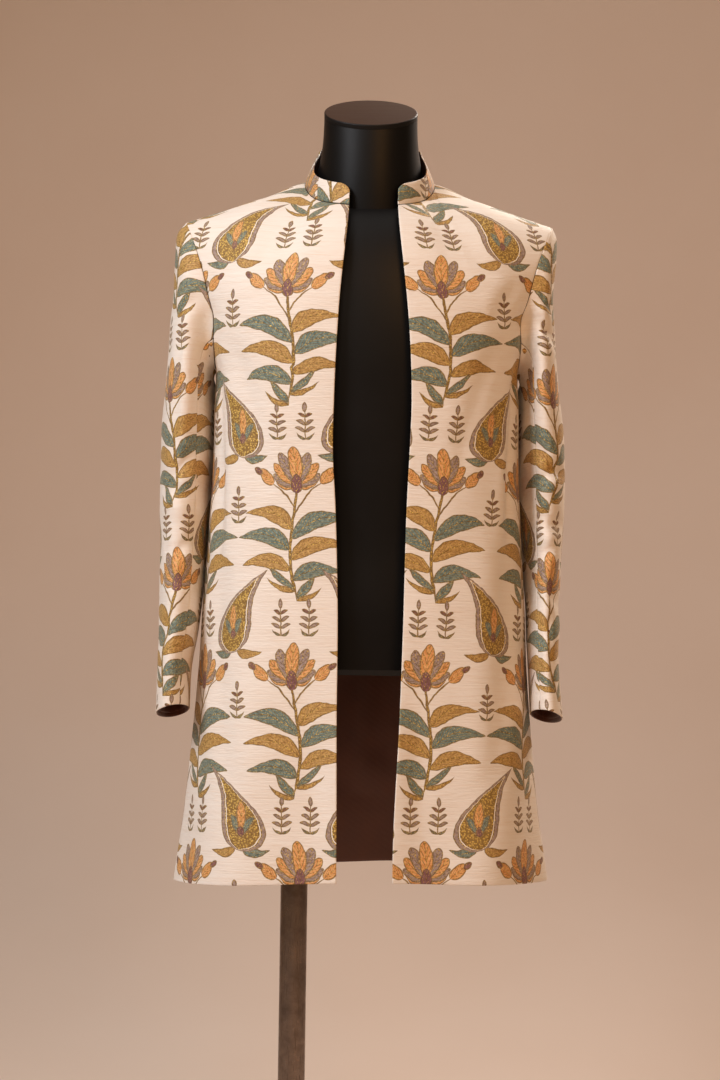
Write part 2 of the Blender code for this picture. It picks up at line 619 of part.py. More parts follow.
def build_form():
    """The torso and neck as one closed body, and the cap on the neck."""
    pieces = []
    for facing in (-1, 1):
        half = form_half(facing)
        pieces += [half, mirrored(half)]
    neck = neck_rings()
    points = [piece.reshape(-1, 3) for piece in pieces] + [neck.reshape(-1, 3)]
    faces, first = [], 0
    for piece in pieces:
        faces += grid_faces(*piece.shape[:2], first)
        first += piece.shape[0] * piece.shape[1]
    faces += grid_faces(*neck.shape[:2], first, around=True)
    last_ring = first + NECK_ROWS * neck.shape[1]
    faces.append(list(range(last_ring, last_ring + neck.shape[1])))
    foot = np.concatenate([pieces[0][0], pieces[2][0][-2::-1], pieces[3][0][1:], pieces[1][0][-2:0:-1]])
    start = sum(len(block) for block in points)
    points.append(foot)
    faces.append(list(range(start, start + len(foot))))
    obj = mesh_object("torso_form", np.concatenate(points), faces)
    add_to_collection(obj, FORM_COLOR, 0.45)
    tilt = math.radians(NECK_TOP["tilt"])
    normal = np.array([0.0, -math.sin(tilt), math.cos(tilt)])
    rim = neck[-1] + GAP * normal
    cap = np.stack([rim, rim + CAP_THICKNESS * normal])
    faces = grid_faces(2, rim.shape[0], 0, around=True)
    faces += [list(range(len(rim))), list(range(2 * len(rim) - 1, len(rim) - 1, -1))]
    obj = mesh_object("neck_cap", cap.reshape(-1, 3), faces)
    add_to_collection(obj, (0.02, 0.013, 0.010), 0.35)


def turned(name, profile, x, color, roughness, metallic):
    """A profile of (radius, height) points, turned about an upright axis at x."""
    points = [(radius, 0.0, z) for radius, z in profile]
    edges = [(i, i + 1) for i in range(len(points) - 1)]
    if profile[0][0] > 0:
        edges.append((len(points) - 1, 0))
    mesh = bpy.data.meshes.new(name)
    mesh.from_pydata(points, edges, [])
    obj = bpy.data.objects.new(name, mesh)
    obj.location = (x, 0.0, 0.0)
    screw = obj.modifiers.new("turn", "SCREW")
    screw.steps = ROUND_STEPS
    screw.render_steps = ROUND_STEPS
    screw.use_merge_vertices = True
    screw.merge_threshold = 1e-5
    return add_to_collection(obj, color, roughness, metallic)


def build_stand():
    """The base plate, its socket, the pole and the flange under the form."""
    top = PLATE_THICKNESS
    turned(
        "base_plate",
        [
            (0.0, top),
            (PLATE_RADIUS - EDGE_BREAK, top),
            (PLATE_RADIUS, top - EDGE_BREAK),
            (PLATE_RADIUS, 0.0),
            (0.0, 0.0),
        ],
        0.0, STEEL_COLOR, 0.3, 1.0,
    )
    foot = top + GAP
    inside = POLE_RADIUS + GAP
    turned(
        "base_socket",
        [
            (inside, foot + SOCKET_HEIGHT),
            (SOCKET_RADIUS - EDGE_BREAK, foot + SOCKET_HEIGHT),
            (SOCKET_RADIUS, foot + SOCKET_HEIGHT - EDGE_BREAK),
            (SOCKET_RADIUS, foot),
            (inside, foot),
        ],
        POLE_X, STEEL_COLOR, 0.3, 1.0,
    )
    flange_top = FORM_FOOT - GAP
    pole_top = flange_top - FLANGE_THICKNESS - GAP
    turned(
        "pole",
        [(0.0, pole_top), (POLE_RADIUS, pole_top), (POLE_RADIUS, foot), (0.0, foot)],
        POLE_X, STEEL_COLOR, 0.25, 1.0,
    )
    sleeve_foot = flange_top - FLANGE_SLEEVE_LENGTH
    turned(
        "form_flange",
        [
            (0.0, flange_top),
            (FLANGE_RADIUS, flange_top),
            (FLANGE_RADIUS, flange_top - FLANGE_THICKNESS),
            (FLANGE_SLEEVE_RADIUS, flange_top - FLANGE_THICKNESS),
            (FLANGE_SLEEVE_RADIUS, sleeve_foot),
            (inside, sleeve_foot),
            (inside, flange_top - FLANGE_THICKNESS),
            (0.0, flange_top - FLANGE_THICKNESS),
        ],
        POLE_X, STEEL_COLOR, 0.3, 1.0,
    )


def main():
    for obj in list(bpy.data.objects):
        bpy.data.objects.remove(obj, do_unlink=True)
    collection = bpy.data.collections.new(COLLECTION)
    bpy.context.scene.collection.children.link(collection)
    grids = build_body()
    for side in SLEEVES:
        build_sleeve(side, grids)
    build_collar(grids)
    build_form()
    build_stand()


main()
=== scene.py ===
"""The looks of a sherwani coat on a limbless dress form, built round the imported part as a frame.

Everything is in metres in the part's own frame: +Z up, the coat's front towards -Y, the wearer's
left on +X. Each cut piece of cloth is a thin wall on the same surface as its solid, with soft
creases, laid flat in the computer to find its cut, and the print and the weave are drawn on that
flat cut.
"""

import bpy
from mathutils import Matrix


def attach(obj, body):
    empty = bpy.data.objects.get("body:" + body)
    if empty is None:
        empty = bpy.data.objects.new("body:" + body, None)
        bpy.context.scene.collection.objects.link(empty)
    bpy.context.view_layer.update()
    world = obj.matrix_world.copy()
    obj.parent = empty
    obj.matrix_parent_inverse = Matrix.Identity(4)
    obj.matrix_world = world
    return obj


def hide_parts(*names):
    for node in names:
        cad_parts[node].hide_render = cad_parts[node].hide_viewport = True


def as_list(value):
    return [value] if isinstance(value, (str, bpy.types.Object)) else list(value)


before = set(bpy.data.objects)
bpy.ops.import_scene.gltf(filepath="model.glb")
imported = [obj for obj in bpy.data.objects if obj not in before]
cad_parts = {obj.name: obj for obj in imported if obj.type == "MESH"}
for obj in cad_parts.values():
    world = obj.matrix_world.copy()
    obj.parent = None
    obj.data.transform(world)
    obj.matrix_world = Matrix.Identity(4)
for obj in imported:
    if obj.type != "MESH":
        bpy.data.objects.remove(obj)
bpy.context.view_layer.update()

import logging
import math
from dataclasses import dataclass, field
from enum import Enum
from typing import Any

import bmesh
import bpy
import numpy as np
from mathutils import Matrix

Array = np.ndarray
Vector3 = tuple[float, float, float]
Material = bpy.types.Material
log = logging.getLogger("sherwani_coat")

UP = np.array([0.0, 0.0, 1.0])
LEVEL = np.array([1.0, 1.0, 0.0])
WHOLE_TURN = 2 * math.pi
EDGE_ROUND = 0.0012  # how far in from an edge the cloth reaches its whole thickness
EDGE_STEPS = np.array([0.0, 0.12, 0.45, 1.0]) * EDGE_ROUND
SEAM_HOLD = 0.030  # how far from a seam the creases fade out
SEAM_GAP = 0.0003  # left between two pieces where they meet
FLATTEN_PASSES = 900
SPRING_PULL, SPRING_SPEED_KEPT = 0.18, 0.93
FLAT_SAMPLES = (44, 28)  # rows and columns of the coarse grid that is laid flat
NECK_SHARE = 6 / 13  # of half a panel's columns, from its middle to the side of the neck
SMALL_DROP = 1e-4  # between two levels that give a slope


# Curves, grids and flat cuts --------------------


def cubic(t: Array, start: Array, leaving: Array, end: Array, arriving: Array) -> Array:
    """The cubic from start (t = 0) to end (t = 1) with the given slopes at its ends.

    Args:
        t: How far along, from 0 to 1.
        start: The value at 0.
        leaving: The slope there.
        end: The value at 1.
        arriving: The slope there.

    Returns:
        The value at each t.
    """
    return (
        (1 + 2 * t) * (1 - t) ** 2 * start
        + t * (1 - t) ** 2 * leaving
        + t**2 * (3 - 2 * t) * end
        + t**2 * (t - 1) * arriving
    )


@dataclass(frozen=True)
class Table:
    """Sizes in rows. The first column says where each row holds, with smooth curves between."""

    columns: str
    rows: tuple[tuple[float, ...], ...]

    def at(self, where: Array, column: str) -> Array:
        """Reads one column anywhere: a cubic between rows, its slopes from the neighbours.

        Args:
            where: Places along the first column.
            column: The name of the column to read.

        Returns:
            The column's value at each place.
        """
        grid = np.array(self.rows, float)
        known_at, known = grid[:, 0], grid[:, self.columns.split().index(column)]
        slopes = np.gradient(known, known_at)
        k = np.clip(np.searchsorted(known_at, where) - 1, 0, len(known_at) - 2)
        span = known_at[k + 1] - known_at[k]
        t = (where - known_at[k]) / span
        return cubic(t, known[k], span * slopes[k], known[k + 1], span * slopes[k + 1])


def unit(vectors: Array) -> Array:
    """The vectors, each divided by its length."""
    return vectors / np.linalg.norm(vectors, axis=-1, keepdims=True)


def mirrored(grid: Array) -> Array:
    """The same grid, solid or flat, on the other side of the body."""
    return grid * np.array([-1.0, 1.0, 1.0])[: grid.shape[-1]]


def eased(value: Array, start: float, end: float) -> Array:
    """0 before start and 1 after end, with a smooth S between: 3t^2 - 2t^3."""
    t = np.clip((value - start) / (end - start), 0, 1)
    return t * t * (3 - 2 * t)


def run_along(grid: Array, axis: int) -> Array:
    """The length travelled along a grid's rows (axis 1) or columns (axis 0) from its start."""
    steps = np.linalg.norm(np.diff(grid, axis=axis), axis=-1)
    return np.insert(np.cumsum(steps, axis=axis), 0, 0.0, axis=axis)


def outward(face: Array, core: Array, closed: bool = False) -> tuple[Array, bool]:
    """Unit normals of a grid: the step along the row crossed with the step up the column.

    Args:
        face: The grid of points.
        core: What the grid looks away from, for each point or each row.
        closed: Whether the last column joins the first one.

    Returns:
        The outward normals, and whether the grid's own faces look the other way.
    """
    if closed:
        along = np.roll(face, -1, axis=1) - np.roll(face, 1, axis=1)
    else:
        along = np.gradient(face, axis=1)
    normals = unit(np.cross(along, np.gradient(face, axis=0)))
    turned = float(np.sum(normals * (face - core))) < 0
    return (-normals if turned else normals), turned


def stations(length: float, step: float, first: bool = True, last: bool = True) -> Array:
    """Places from 0 to 1 about a step apart, with close ones where an edge is rounded.

    Args:
        length: The real length that 0 to 1 stands for.
        step: The wanted distance between places.
        first: Whether the start is an edge of the cloth.
        last: Whether the end is an edge of the cloth.

    Returns:
        The places, from 0 to 1.
    """
    start = EDGE_STEPS if first else EDGE_STEPS[:1]
    end = length - (EDGE_STEPS if last else EDGE_STEPS[:1])[::-1]
    count = max(2, round((end[0] - start[-1]) / step))
    return np.concatenate([start[:-1], np.linspace(start[-1], end[0], count + 1), end[1:]]) / length


def resampled(values: Array, known: Array, at: Array) -> Array:
    """Rows of values between the known ones, in straight lines.

    Args:
        values: The known rows.
        known: Where they are.
        at: Where rows are wanted.

    Returns:
        The wanted rows.
    """
    k = np.clip(np.searchsorted(known, at) - 1, 0, len(known) - 2)
    t = ((at - known[k]) / (known[k + 1] - known[k])).reshape(-1, *[1] * (values.ndim - 1))
    return values[k] * (1 - t) + values[k + 1] * t


def flattened(face: Array, grain: float, height: float, across: float = 0.0) -> Array:
    """Lays a curved piece of cloth flat, as it was before it was sewn.

    A coarse copy of the grid starts with its rows straight, and each of its edges and diagonals
    then pulls or pushes its ends until it has its real length again. The flat piece is turned
    until its grain line is upright, and moved so that the print meets that of its neighbours.

    Args:
        face: The piece's grid of points.
        grain: Which column is the grain line, from 0 (the first) to 1 (the last).
        height: The height whose row keeps its height on the flat piece.
        across: The flat piece's place across, at the grain line.

    Returns:
        A grid of flat points, in metres.
    """
    rows, cols = [
        np.unique(np.round(np.linspace(0, count - 1, min(count, most))).astype(int))
        for count, most in zip(face.shape[:2], FLAT_SAMPLES)
    ]
    coarse = face[np.ix_(rows, cols)]
    anchor = int(round(grain * (len(cols) - 1)))
    run = run_along(coarse, 1)
    rise = run_along(coarse, 0)[:, anchor : anchor + 1]
    flat = np.stack([run - run[:, anchor : anchor + 1], rise + 0 * run], axis=-1)
    all_, near, far = slice(None), slice(None, -1), slice(1, None)
    pairs = (
        ((all_, near), (all_, far)), ((near, all_), (far, all_)),
        ((near, near), (far, far)), ((near, far), (far, near)),
    )
    springs = [(a, b, np.linalg.norm(coarse[b] - coarse[a], axis=-1)) for a, b in pairs]
    speed = np.zeros_like(flat)
    for _ in range(FLATTEN_PASSES):
        pull = np.zeros_like(flat)
        for a, b, rest in springs:
            gap = flat[b] - flat[a]
            push = gap * (0.5 - 0.5 * rest / np.linalg.norm(gap, axis=-1))[..., None]
            pull[a] += push
            pull[b] -= push
        speed = SPRING_SPEED_KEPT * speed + SPRING_PULL * pull
        flat = flat + speed
    line = unit(flat[-1, anchor] - flat[0, anchor])
    flat = flat @ np.array([[line[1], line[0]], [-line[0], line[1]]])
    level = int(np.argmin(np.abs(coarse[:, anchor, 2] - height)))
    flat += np.array([across, coarse[level, anchor, 2]]) - flat[level, anchor]
    row_at, col_at = run_along(face, 0).mean(axis=1), run_along(face, 1).mean(axis=0)
    fine = resampled(flat, row_at[rows], row_at)
    return resampled(fine.transpose(1, 0, 2), col_at[cols], col_at).transpose(1, 0, 2)


@dataclass(frozen=True)
class Crease:
    """A soft trough with a low ridge beside it, between two points of a piece's flat cut."""

    start_u: float
    start_v: float
    end_u: float
    end_v: float
    depth: float
    width: float
    sag: float

    def relief(self, flat: Array) -> Array:
        """How far the crease moves each point outwards.

        With d the distance from a bowed line and w the width, the cross-section is
        -exp(-(d/w)^2) + 0.5 exp(-((d - 2w)/1.3w)^2). At t along its length it swells and fades
        as (4t (1 - t))^0.8, and a slow sine makes it deeper and shallower by a quarter.

        Args:
            flat: Points of the flat cut.

        Returns:
            The move along the cloth's normal, in metres.
        """
        way = np.array([self.end_u - self.start_u, self.end_v - self.start_v])
        length = float(np.hypot(*way))
        from_start = flat - np.array([self.start_u, self.start_v])
        t = (from_start @ way) / length**2
        off = (from_start[..., 0] * way[1] - from_start[..., 1] * way[0]) / length
        off = off - self.sag * 4 * t * (1 - t)
        body = np.clip(4 * t * (1 - t), 0, 1) ** 0.8
        uneven = 1 + 0.25 * np.sin(8 * t + 37 * self.start_u)
        trough = np.exp(-((off / self.width) ** 2))
        ridge = np.exp(-(((off - 2 * self.width) / (1.3 * self.width)) ** 2))
        return self.depth * uneven * body * (0.5 * ridge - trough)


@dataclass(frozen=True)
class Drape:
    """Long soft waves that run down a piece and grow towards its hem."""

    length: float
    depth: float
    phase: float
    top: float
    foot: float

    def relief(self, flat: Array) -> Array:
        """Waves sin(2 pi u / length + phase + a slow drift with height), grown from top to foot.

        Args:
            flat: Points of the flat cut.

        Returns:
            The move along the cloth's normal, in metres.
        """
        grown = 1 - eased(flat[..., 1], self.foot, self.top)
        turn = WHOLE_TURN * flat[..., 0] / self.length + self.phase
        turn = turn + 1.1 * np.sin(4.2 * flat[..., 1] + self.phase)
        return self.depth * grown**1.4 * np.sin(turn)


@dataclass(frozen=True)
class Folds:
    """All that moves a piece's surface: its wear, its creases and its drape."""

    wear: float
    creases: tuple[tuple[float, ...], ...]
    drapes: tuple[Drape, ...] = ()

    def relief(self, flat: Array) -> Array:
        """The folds' moves added up, with the wear: slight waves 60 to 150 mm long.

        Args:
            flat: Points of the flat cut.

        Returns:
            The move along the cloth's normal, in metres.
        """
        u, v = flat[..., 0], flat[..., 1]
        waves = np.sin(71 * u + 23 * v + 1.3) * np.sin(38 * v - 17 * u + 0.4)
        waves = waves + 0.7 * np.sin(43 * u - 52 * v + 2.1) + 0.5 * np.sin(96 * v + 29 * u)
        folds = (*self.drapes, *(Crease(*row) for row in self.creases))
        return self.wear * waves / 2 + sum(fold.relief(flat) for fold in folds)


# Meshes --------------------


def grid_faces(rows: int, cols: int, first: int = 0, around: bool = False) -> Array:
    """Quads between the rows of a grid whose points are numbered row by row from first.

    Args:
        rows: How many rows.
        cols: How many points in a row.
        first: The first point's number.
        around: Whether each row closes on itself.

    Returns:
        Four numbers for each quad.
    """
    r, c = np.meshgrid(np.arange(rows - 1), np.arange(cols - (not around)), indexing="ij")
    a = first + r * cols + c
    b = first + r * cols + (c + 1) % cols
    return np.stack([a, b, b + cols, a + cols], axis=-1).reshape(-1, 4)


def link(mesh: bpy.types.Mesh, *materials: Material) -> bpy.types.Object:
    """Puts a mesh into the scene as an object at the origin, with its materials.

    Args:
        mesh: The finished mesh.
        *materials: Its materials, in order.

    Returns:
        The object.
    """
    mesh.shade_smooth()
    piece = bpy.data.objects.new(mesh.name, mesh)
    for material in materials:
        mesh.materials.append(material)
    bpy.context.scene.collection.objects.link(piece)
    return piece


def settle(piece: bpy.types.Object, slot: str, node: str) -> None:
    """Makes a piece ride on the part and stand for its CAD node, whose part it hides.

    Args:
        piece: The finished object.
        slot: The record's material slot; not used.
        node: The CAD node's name.
    """
    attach(piece, "root")
    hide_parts(node)
    log.info("%s: %d faces, for %s", piece.name, len(piece.data.polygons), node)


@dataclass
class ClothPiece:
    """One cut piece of cloth, as a thin wall with rounded edges."""

    name: str
    node: str  # the CAD node that it stands for
    face: Array  # the grid of points on the cloth's outer face
    core: Array  # what that looks away from, for each point or each row
    flat: Array  # the flat cut, with one more column than the face if it is closed round
    held: str
    rests_on: list[str]
    wall: float = 0.002  # outer cloth, interlining and lining pressed together
    slot: str = "printed_cloth"
    closed: bool = False  # whether the last column joins the first one
    # For a front or the back, the least Y (above 0) or the greatest (below 0) that its wall may
    # reach, so that it meets its neighbour without cutting into it.
    beside: float = 0.0

    def thickness(self) -> Array:
        """Half the wall at each point: an ellipse's quarter over the last bit before an edge.

        Returns:
            A grid of half thicknesses.
        """
        share = np.ones(self.face.shape[:2])
        for axis in (0,) if self.closed else (0, 1):
            run = run_along(self.face, axis)
            end = run[-1:] if axis == 0 else run[:, -1:]
            inside = np.clip(np.minimum(run, end - run) / EDGE_ROUND, 0, 1)
            share = share * np.sqrt(1 - (1 - inside) ** 2)
        return self.wall / 2 * share

    def mesh(self) -> bpy.types.Mesh:
        """The wall: both faces, which share their points along the edges, and their cut.

        Returns:
            The mesh.
        """
        normals, turned = outward(self.face, self.core, self.closed)
        half = self.thickness()[..., None]
        middle = self.face - self.wall / 2 * normals
        rows, cols = self.face.shape[:2]
        border = np.zeros((rows, cols), bool)
        border[0] = border[-1] = True
        if not self.closed:
            border[:, 0] = border[:, -1] = True
        outer = np.arange(rows * cols).reshape(rows, cols)
        inner = np.where(border, outer, rows * cols + np.cumsum(~border).reshape(rows, cols) - 1)
        points = np.concatenate([
            (middle + half * normals).reshape(-1, 3), (middle - half * normals)[~border]
        ])
        if self.beside:
            held = np.maximum if self.beside > 0 else np.minimum
            points[:, 1] = held(points[:, 1], self.beside)
        quads, cut = [], []
        for numbers, backwards in ((outer, turned), (inner, not turned)):
            wrapped = np.concatenate([numbers, numbers[:, :1]], axis=1) if self.closed else numbers
            for store, values in ((quads, wrapped[..., None]), (cut, self.flat)):
                corners = [values[:-1, :-1], values[:-1, 1:], values[1:, 1:], values[1:, :-1]]
                corners = corners[::-1] if backwards else corners
                store.append(np.stack(corners, axis=2).reshape(-1, 4, values.shape[-1]))
        quads = np.concatenate(quads)[..., 0]
        mesh = bpy.data.meshes.new(self.name)
        mesh.from_pydata(points.tolist(), [], quads.tolist())
        layer = mesh.uv_layers.new(name="cut")
        layer.uv.foreach_set("vector", np.concatenate(cut).astype(np.float32).ravel())
        side = np.repeat([0, 1], len(quads) // 2).astype(np.int32)
        mesh.polygons.foreach_set("material_index", side)
        return mesh

    def build(self, outside: Material, inside: Material) -> None:
        """Args:
            outside: The finish of the outer face.
            inside: The finish of the inner face.
        """
        piece = link(self.mesh(), outside, inside)
        settle(piece, self.slot, self.node)
        low, high = self.flat.reshape(-1, 2).min(axis=0), self.flat.reshape(-1, 2).max(axis=0)
        across, up = np.diff(self.flat[:-1], axis=1), np.diff(self.flat[:, :-1], axis=0)
        area = float(np.abs(np.sum(across[..., 0] * up[..., 1] - across[..., 1] * up[..., 0])))
        width, length = (float(size) for size in high - low)
        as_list(self.rests_on)
        log.info("%s: cut %.0f x %.0f mm, %.3f m2", piece.name, width * 1e3, length * 1e3, area)


# The coat's body --------------------


def rising_rows(
    foot: Array, slope: Array, top: Array, top_slope: Array, fullness: Array, rise: Array
) -> Array:
    """Rows of a cubic rise from a foot to a top, with the direction given at both ends.

    Args:
        foot: Where each column starts.
        slope: Its direction there.
        top: Where each column ends.
        top_slope: Its direction there.
        fullness: How much longer than the straight line each column's tangents are.
        rise: How far up each row is, from 0 to 1.

    Returns:
        A grid of points.
    """
    length = np.linalg.norm(top - foot, axis=-1, keepdims=True) * fullness[:, None]
    return cubic(rise[:, None, None], foot, length * slope, top, length * top_slope)


@dataclass
class Shape:
    """What the coat and the form share: level ovals below, and a yoke that rises to the neck.

    Attributes:
        rows: Half width and front and back depth by height.
        neck: The height of the neckline by its depth.
        ridge: The height of the shoulder seam by its distance from the middle.
        full: The yoke's fullness from the front edge (0) to the armhole (1).
    """

    rows: tuple[tuple[float, ...], ...]
    neck: Table = Table("y height", (
        (-0.095, 1.4405), (-0.088, 1.4425), (-0.050, 1.4555), (-0.030, 1.4660),
        (0.000, 1.4810), (0.030, 1.4915), (0.055, 1.4955), (0.072, 1.4965),
    ))
    ridge: Table = Table("x height", (
        (0.0845, 1.4810), (0.0970, 1.4780), (0.1120, 1.4725), (0.1250, 1.4670),
        (0.1500, 1.4570), (0.1760, 1.4480), (0.2000, 1.4400), (0.2200, 1.4335),
        (0.2370, 1.4280),
    ))
    full: Table = Table("across fullness", (
        (0.00, 1.05), (0.20, 1.12), (0.42, 1.20), (0.70, 1.24), (1.00, 1.27),
    ))
    oval_fullness: float = 0.029
    yoke_foot: float = 1.300
    neck_rise: float = 40.0  # degrees the cloth rises to the neckline at the middle
    neck_side_rise: float = 14.0  # and at the side of the neck
    neck_side_pitch: float = 0.45  # how steeply the side of the neck rises towards the back
    neck_pitch_fade: float = 0.075  # the length of shoulder seam over which that pitch fades

    def size(self, height: Array, name: str) -> Array:
        """The half width ("half"), or the depth in front ("front") or behind ("back")."""
        return Table("height half front back", self.rows).at(height, name)

    def depth(self, height: Array, facing: int) -> Array:
        """The depth in front (-1) or behind (1)."""
        return self.size(height, "front" if facing < 0 else "back")

    def oval(self, angle: Array) -> tuple[Array, Array]:
        """Across and along on a rounded oval: (sin a + k sin 3a, cos a - k cos 3a) / (1 - k).

        Args:
            angle: The angles.

        Returns:
            Across and along, 0 to 1.
        """
        k = self.oval_fullness
        across = (np.sin(angle) + k * np.sin(3 * angle)) / (1 - k)
        return across, (np.cos(angle) - k * np.cos(3 * angle)) / (1 - k)

    def oval_angle(self, value: Array, along: bool) -> Array:
        """The angle at which the oval reaches a value along, or else across.

        Args:
            value: The values to reach.
            along: Whether along, or else across.

        Returns:
            The angles, in the first quarter.
        """
        quarter = np.linspace(0, math.pi / 2, 721)
        across_values, along_values = self.oval(quarter)
        if along:
            return np.interp(value, along_values[::-1], quarter[::-1])
        return np.interp(value, across_values, quarter)

    def level(
        self, height: Array, start: Array, finish: Array, across: Array, facing: int
    ) -> Array:
        """Points on the level ovals, from one angle to another.

        Args:
            height: The height of each point.
            start: The angle where across is 0.
            finish: The angle where across is 1.
            across: How far each point is between them.
            facing: -1 for the front and 1 for the back.

        Returns:
            The points.
        """
        out, along = self.oval(start + (finish - start) * across)
        x, y = self.size(height, "half") * out, facing * self.depth(height, facing) * along
        return np.stack([x, y, height + 0 * out], axis=-1)

    def neckline(self, angle: Array, facing: int, half_width: float, depth: float) -> Array:
        """Points of the neckline, by the angle from the middle to the side of the neck."""
        y = facing * depth * np.cos(angle)
        return np.stack([half_width * np.sin(angle), y, self.neck.at(y, "height")], axis=-1)

    def yoke_slopes(self, neck: Array, angles: Array, seam_x: Array, facing: int) -> Array:
        """Directions in which the yoke reaches its top row.

        At the neckline each lies in the plane of the neckline's tangent and of the cloth's rise
        towards the neck. Along the shoulder seam the pitch fades to level.

        Args:
            neck: The neckline's points.
            angles: Their angles.
            seam_x: The shoulder seam's points, by their distance from the middle.
            facing: -1 for the front and 1 for the back.

        Returns:
            One direction for each point of the neckline and the seam.
        """
        tangent = np.gradient(neck, angles, axis=0)
        tangent[-1] = (0.0, -facing, -facing * self.neck_side_pitch)
        inward = np.stack([-facing * tangent[:, 1], facing * tangent[:, 0], 0 * angles], axis=-1)
        inward = unit(inward)
        inward *= -np.sign(np.sum(inward * neck, axis=-1, keepdims=True))
        spread = self.neck_rise - self.neck_side_rise
        rise = np.radians(self.neck_side_rise + spread * np.cos(angles) ** 2)[:, None]
        normal = np.cross(tangent, np.cos(rise) * inward + np.sin(rise) * UP)
        at_neck = facing * normal[:, 1] / normal[:, 2]
        faded = np.clip((seam_x - neck[-1, 0]) / self.neck_pitch_fade, 0, 1)
        at_seam = -facing * self.neck_side_pitch * (1 - faded) ** 2 * (1 + 2 * faded)
        climb = np.concatenate([at_neck, at_seam])
        return unit(np.stack([0 * climb, -facing + 0 * climb, climb], axis=-1))


COAT_SHAPE = Shape((
    (0.560, 0.2425, 0.1505, 0.154), (0.580, 0.2405, 0.150, 0.152), (0.670, 0.2290, 0.147, 0.146),
    (0.760, 0.2205, 0.144, 0.139), (0.850, 0.2130, 0.141, 0.132), (0.940, 0.2085, 0.138, 0.124),
    (1.030, 0.2025, 0.136, 0.117), (1.110, 0.1985, 0.137, 0.113), (1.180, 0.1975, 0.140, 0.116),
    (1.235, 0.1990, 0.143, 0.1205), (1.280, 0.2120, 0.1432, 0.1232),
    (1.310, 0.2180, 0.1415, 0.1230), (1.330, 0.2220, 0.1390, 0.1218),
))
FORM_SHAPE = Shape((
    (0.800, 0.160, 0.100, 0.090), (0.850, 0.168, 0.106, 0.096), (0.920, 0.172, 0.112, 0.100),
    (1.010, 0.166, 0.111, 0.095), (1.100, 0.168, 0.116, 0.093), (1.180, 0.174, 0.122, 0.098),
    (1.250, 0.180, 0.126, 0.104), (1.300, 0.184, 0.126, 0.108), (1.330, 0.187, 0.124, 0.110),
))
# A crease's row: where it starts and ends on the flat cut, its depth, its width and its bow.
BODY_FOLDS = {
    "left": Folds(0.0006, (
        (0.214, 1.300, 0.202, 1.010, 0.0060, 0.011, 0.004),
        (0.196, 1.040, 0.176, 0.700, 0.0044, 0.019, -0.010),
        (0.165, 1.290, 0.112, 1.080, 0.0022, 0.014, 0.010),
        (0.078, 0.930, 0.096, 0.610, 0.0032, 0.018, 0.012),
        (0.190, 1.345, 0.145, 1.290, 0.0018, 0.010, 0.004),
        (0.120, 1.400, 0.172, 1.345, 0.0011, 0.012, 0.006),
        (0.070, 1.150, 0.140, 1.128, 0.0012, 0.012, -0.004),
    ), (Drape(0.150, 0.0046, 0.6, 1.08, 0.58),)),
    "right": Folds(0.0006, (
        (0.214, 1.270, 0.206, 0.980, 0.0050, 0.012, 0.004),
        (0.198, 1.010, 0.170, 0.680, 0.0038, 0.020, -0.012),
        (0.172, 1.280, 0.126, 1.070, 0.0020, 0.014, 0.010),
        (0.088, 0.880, 0.070, 0.610, 0.0030, 0.018, 0.010),
        (0.115, 1.400, 0.168, 1.350, 0.0010, 0.012, 0.006),
        (0.060, 1.040, 0.135, 1.060, 0.0011, 0.012, 0.004),
    ), (Drape(0.165, 0.0042, 2.3, 1.06, 0.58),)),
    "back": Folds(0.0006, (
        (-0.165, 1.280, -0.085, 1.090, 0.0034, 0.015, 0.012),
        (0.170, 1.270, 0.080, 1.100, 0.0030, 0.016, -0.012),
        (-0.125, 1.040, -0.155, 0.690, 0.0042, 0.019, 0.010),
        (0.115, 1.020, 0.150, 0.680, 0.0044, 0.019, -0.010),
        (0.010, 0.990, -0.018, 0.670, 0.0028, 0.021, 0.010),
        (-0.110, 1.135, 0.115, 1.115, 0.0018, 0.013, -0.014),
        (-0.090, 1.385, 0.085, 1.380, 0.0014, 0.012, 0.010),
    ), (Drape(0.190, 0.0052, 1.0, 1.08, 0.58),)),
}


class Side(Enum):
    """The wearer's two sides. The value is the sign of X."""

    LEFT = 1
    RIGHT = -1

    @property
    def label(self) -> str:
        """The side's name in lower case."""
        return self.name.lower()


def by_side(left: float, right: float) -> Any:
    """A size that differs between the wearer's two sides, as a dataclass's field."""
    return field(default_factory=lambda: {Side.LEFT: left, Side.RIGHT: right})


